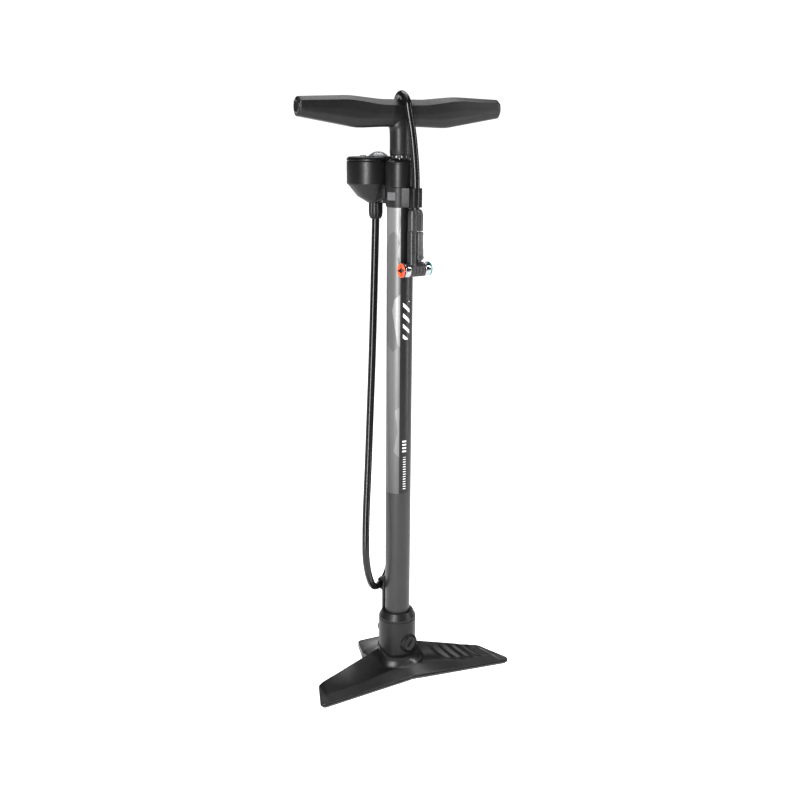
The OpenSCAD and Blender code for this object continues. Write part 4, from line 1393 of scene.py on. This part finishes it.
def add_chuck_body():
    head = lathe("ChuckBody", head_profile(), chuck_axis())
    column = prism("Column", rectangle(9.2, 10, 3.4, COLUMN_X, 0), 497, 535.9, CHUCK, 0.4)
    x = LEVER_X
    lug = prism("Lug", fillet([
        (x - 3.2, 497), (x + 3.2, 497), (x + 3.1, 508, 2), (x + 2, 510.7, 1.5),
        (x - 2, 510.7, 1.5), (x - 3.1, 508, 2)], closed=True), -1.5, 1.5, facing_y(CHUCK), 0.3)
    saddle = prism("Saddle", rectangle(9.6, 10.8, 4, COLUMN_X + 0.1, 0), 496, 503, CHUCK, 1.6)
    join(head, column, lug, saddle, sharp=40)
    bevel(head, 0.25, 2, 45, 40)
    marks = [prism("Mark", [(-7.6, z), (-4, z + 1.4), (-4, z + 3.2), (-7.6, z + 1.8)],
                   4.85, 5.25, facing_y(CHUCK), 0.08)
             for z in (511.2 + 4.4 * k for k in range(5))]
    return dress(merge(head, marks), "chuck_body", "head_plastic", "chuck", "dark")


def add_chuck():
    """The chuck's pieces on the barrel, and its lever."""
    pieces = [add_sleeve(), add_chuck_body()]
    for side, port, cap_slot, colour, bore in (
            (-1, "presta", "presta_red", "red", 3.1),
            (1, "schrader", "schrader_green", "green", 4.1)):
        ring = turned_ring(port.title() + "Ring", [
            (7, 10.05, 0.2), (7.9, 10.05, 0.35), (8.2, 10.8, 0.4), (8.2, 16.2, 0.4),
            (7.9, 16.95, 0.35), (7, 16.95, 0.2)], chuck_axis(side))
        pieces.append(dress(ring, port + "_ring", "chrome_rings", "chrome"))
        pieces.append(dress(port_cap(side, port.title() + "Cap", bore), port + "_cap", cap_slot,
                            colour, "dark"))
    pin = turned("LeverPin", [
        (1.3, -4.05, 0.2), (1.5, -3.8), (1.5, 3.8), (1.3, 4.05, 0.2), (0, 4.05)], pin_axis(), 48)
    pieces.append(dress(pin, "lever_pin", "rod_steel", "rod"))
    pieces.append(add_lever())
    return pieces


def head_profile():
    """The head's outline along its axis, with three raised ribs."""
    points = [(0, -16.9), (6.8, -16.9), (6.9, -9.95), (7.6, -9.95, 0.2)]
    for x in (-6.1, -1.7, 2.7, 7.1):
        points += [(7, x - 1.15, 0.2), (8.08, x - 0.75, 0.3),
                   (8.08, x + 0.75, 0.3), (7, x + 1.15, 0.2)]
    points += [(7.6, 9.95, 0.2), (6.9, 9.95), (6.8, 16.9), (0, 16.9)]
    return fillet(points)


def port_cap(side, name, bore):
    """A port's cap: a coloured rim round a plus-shaped key opening."""
    place = chuck_axis(side)
    cap = turned(name, [
        (6.1, 10.1), (6.15, 17.02), (8, 17.02, 0.2), (8.1, 17.6, 0.2), (8, 18.5, 0.5),
        (7.3, 19, 0.4), (6.6, 18.75, 0.3), (0, 18.7)], place)
    arms = [prism("Arm", rectangle(12.2, 2.5, 1), 17.4, 22, spun(place, turn + 8), 0)
            for turn in (0, 90)]
    carve(cap, *arms, drill(bore, 5, 25, place, 64), sharp=35)
    bevel(cap, 0.15, 2, 50, 35)
    choose_finish(cap, lambda centre, normal: int(
        (centre.z < 18.3 and hypot(*centre.xy) < 7)
        or (side < 0 and hypot(*centre.xy) > 7.75)), place)
    return cap


def add_lever():
    x = LEVER_X
    lever = prism("ChuckLever", fillet([
        (x - 4, 505.5, 2.5), (x - 2.6, 503.6, 1.5), (x + 2.6, 503.6, 1.5),
        (x + 4, 505.5, 2.5), (x + 4.1, 514, 4), (x + 3.5, 520, 5), (x + 3.5, 530.5, 3),
        (x + 3.9, 534.2, 1), (x + 3.2, 535.15, 0.8), (x - 3.4, 535.15, 0.8),
        (x - 3.9, 533.5, 1), (x - 3.9, 514, 4)], closed=True), -4.45, 4.45, facing_y(CHUCK), 1.5)
    fork = prism("Fork", rectangle(16, 3.9, 0.4, x, 0), 500, 512.2, CHUCK, 0)
    grips = [prism("Grip", rectangle(2.4, 12, 0.3, x + 4.35, 0), z, z + 1.5, CHUCK, 0)
             for z in (523.5, 526.5, 529.5)]
    carve(lever, fork, drill(1.55, -8, 8, pin_axis(), 48), *grips, sharp=40)
    bevel(lever, 0.25, 2, 50, 40)
    return dress(lever, "chuck_lever", "lever_plastic", "lever", body="chuck_lever")


# ---- studio ----

FLOOR_SIZE, ROOM_GLOW, WALL_GLOW = 14, 0.05, 1.1


def area_light(name, place, target, width, height, power):
    data = bpy.data.lights.new(name, "AREA")
    data.shape, data.size, data.size_y, data.energy = "RECTANGLE", width, height, power
    lamp = add_object(name, data)
    lamp.location = place
    lamp.rotation_euler = (Vector(target) - Vector(place)).to_track_quat("-Z", "Y").to_euler()
    lamp.visible_camera = False


def at_angle(azimuth, distance, height):
    return distance * cos(radians(azimuth)), distance * sin(radians(azimuth)), height


def add_floor():
    """A white floor, seen as plain white, that glows less near the camera."""
    far = FLOOR_SIZE / MM
    floor = add_mesh("Floor", [(x * far, y * far, -0.05)
                               for x, y in ((-1, -1), (1, -1), (1, 1), (-1, 1))], [(0, 1, 2, 3)])
    paint = Paint("FloorPaint")
    paint.set("Base Color", paint.ramp(
        paint.noise(3), (0.3, (0.92, 0.92, 0.92)), (0.7, (0.94, 0.94, 0.94))))
    paint.set("Roughness", paint.ramp(paint.noise(9), (0.3, 0.85), (0.7, 0.95)))
    paint.shader.inputs["Emission Color"].default_value = (1, 1, 1, 1)
    glow = paint.spread(paint.along(SIGHT, paint.place), -1.1, -0.36, 0.06, 0.72)
    paint.set("Emission Strength", paint.math("MAXIMUM", glow, paint.node("LightPath")))
    floor.data.materials.append(paint.material)
    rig.stage(floor)


def add_room():
    """A white studio: the wall behind the part lights it, and the rest of
    the room, seen as plain white too, throws little light."""
    world = bpy.data.worlds.new("Studio")
    world.use_nodes = True
    nodes = Nodes(world.node_tree)
    ahead = nodes.along(SIGHT, nodes.node("TexCoord"))
    glow = nodes.spread(ahead, 0.87, 0.915, ROOM_GLOW, WALL_GLOW,
                        interpolation_type="SMOOTHSTEP")
    background = world.node_tree.nodes["Background"]
    background.inputs[0].default_value = (1, 1, 1, 1)
    seen = nodes.math("MAXIMUM", nodes.node("LightPath"), glow)
    world.node_tree.links.new(seen, background.inputs[1])
    bpy.context.scene.world = world


def add_lights():
    sun = bpy.data.lights.new("Overhead", "SUN")
    sun.energy, sun.angle = 1, radians(50)
    add_object("Overhead", sun)
    middle = (0, 0, 0.38)
    area_light("Key", at_angle(-138, 1.5, 0.8), middle, 0.42, 1.5, 52)
    area_light("Rim", at_angle(-38, 1.3, 0.7), middle, 0.12, 1.5, 12)
    area_light("TopBack", (0.23, 0.45, 1.55), (0, 0, 0.6), 0.9, 0.45, 6)


# ---- build ----

add_camera()
bpy.context.scene.view_settings.view_transform = "Standard"
FINISH = make_materials()
CHUCK_PIECES = add_chuck()
add_hose(CHUCK_PIECES)
paint_cad_nodes()
for add_part in (add_handle, add_rod_bumper, add_foot, add_socket, add_plug, add_spring,
                 add_hook, add_head, add_gauge, add_display, add_button, add_nut, add_floor,
                 add_room, add_lights):
    add_part()

with open("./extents.json", "w") as out:
    json.dump({"cad": [list(v) for v in CAD_BOX],
               "visual": [list(v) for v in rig.bounds()]}, out)
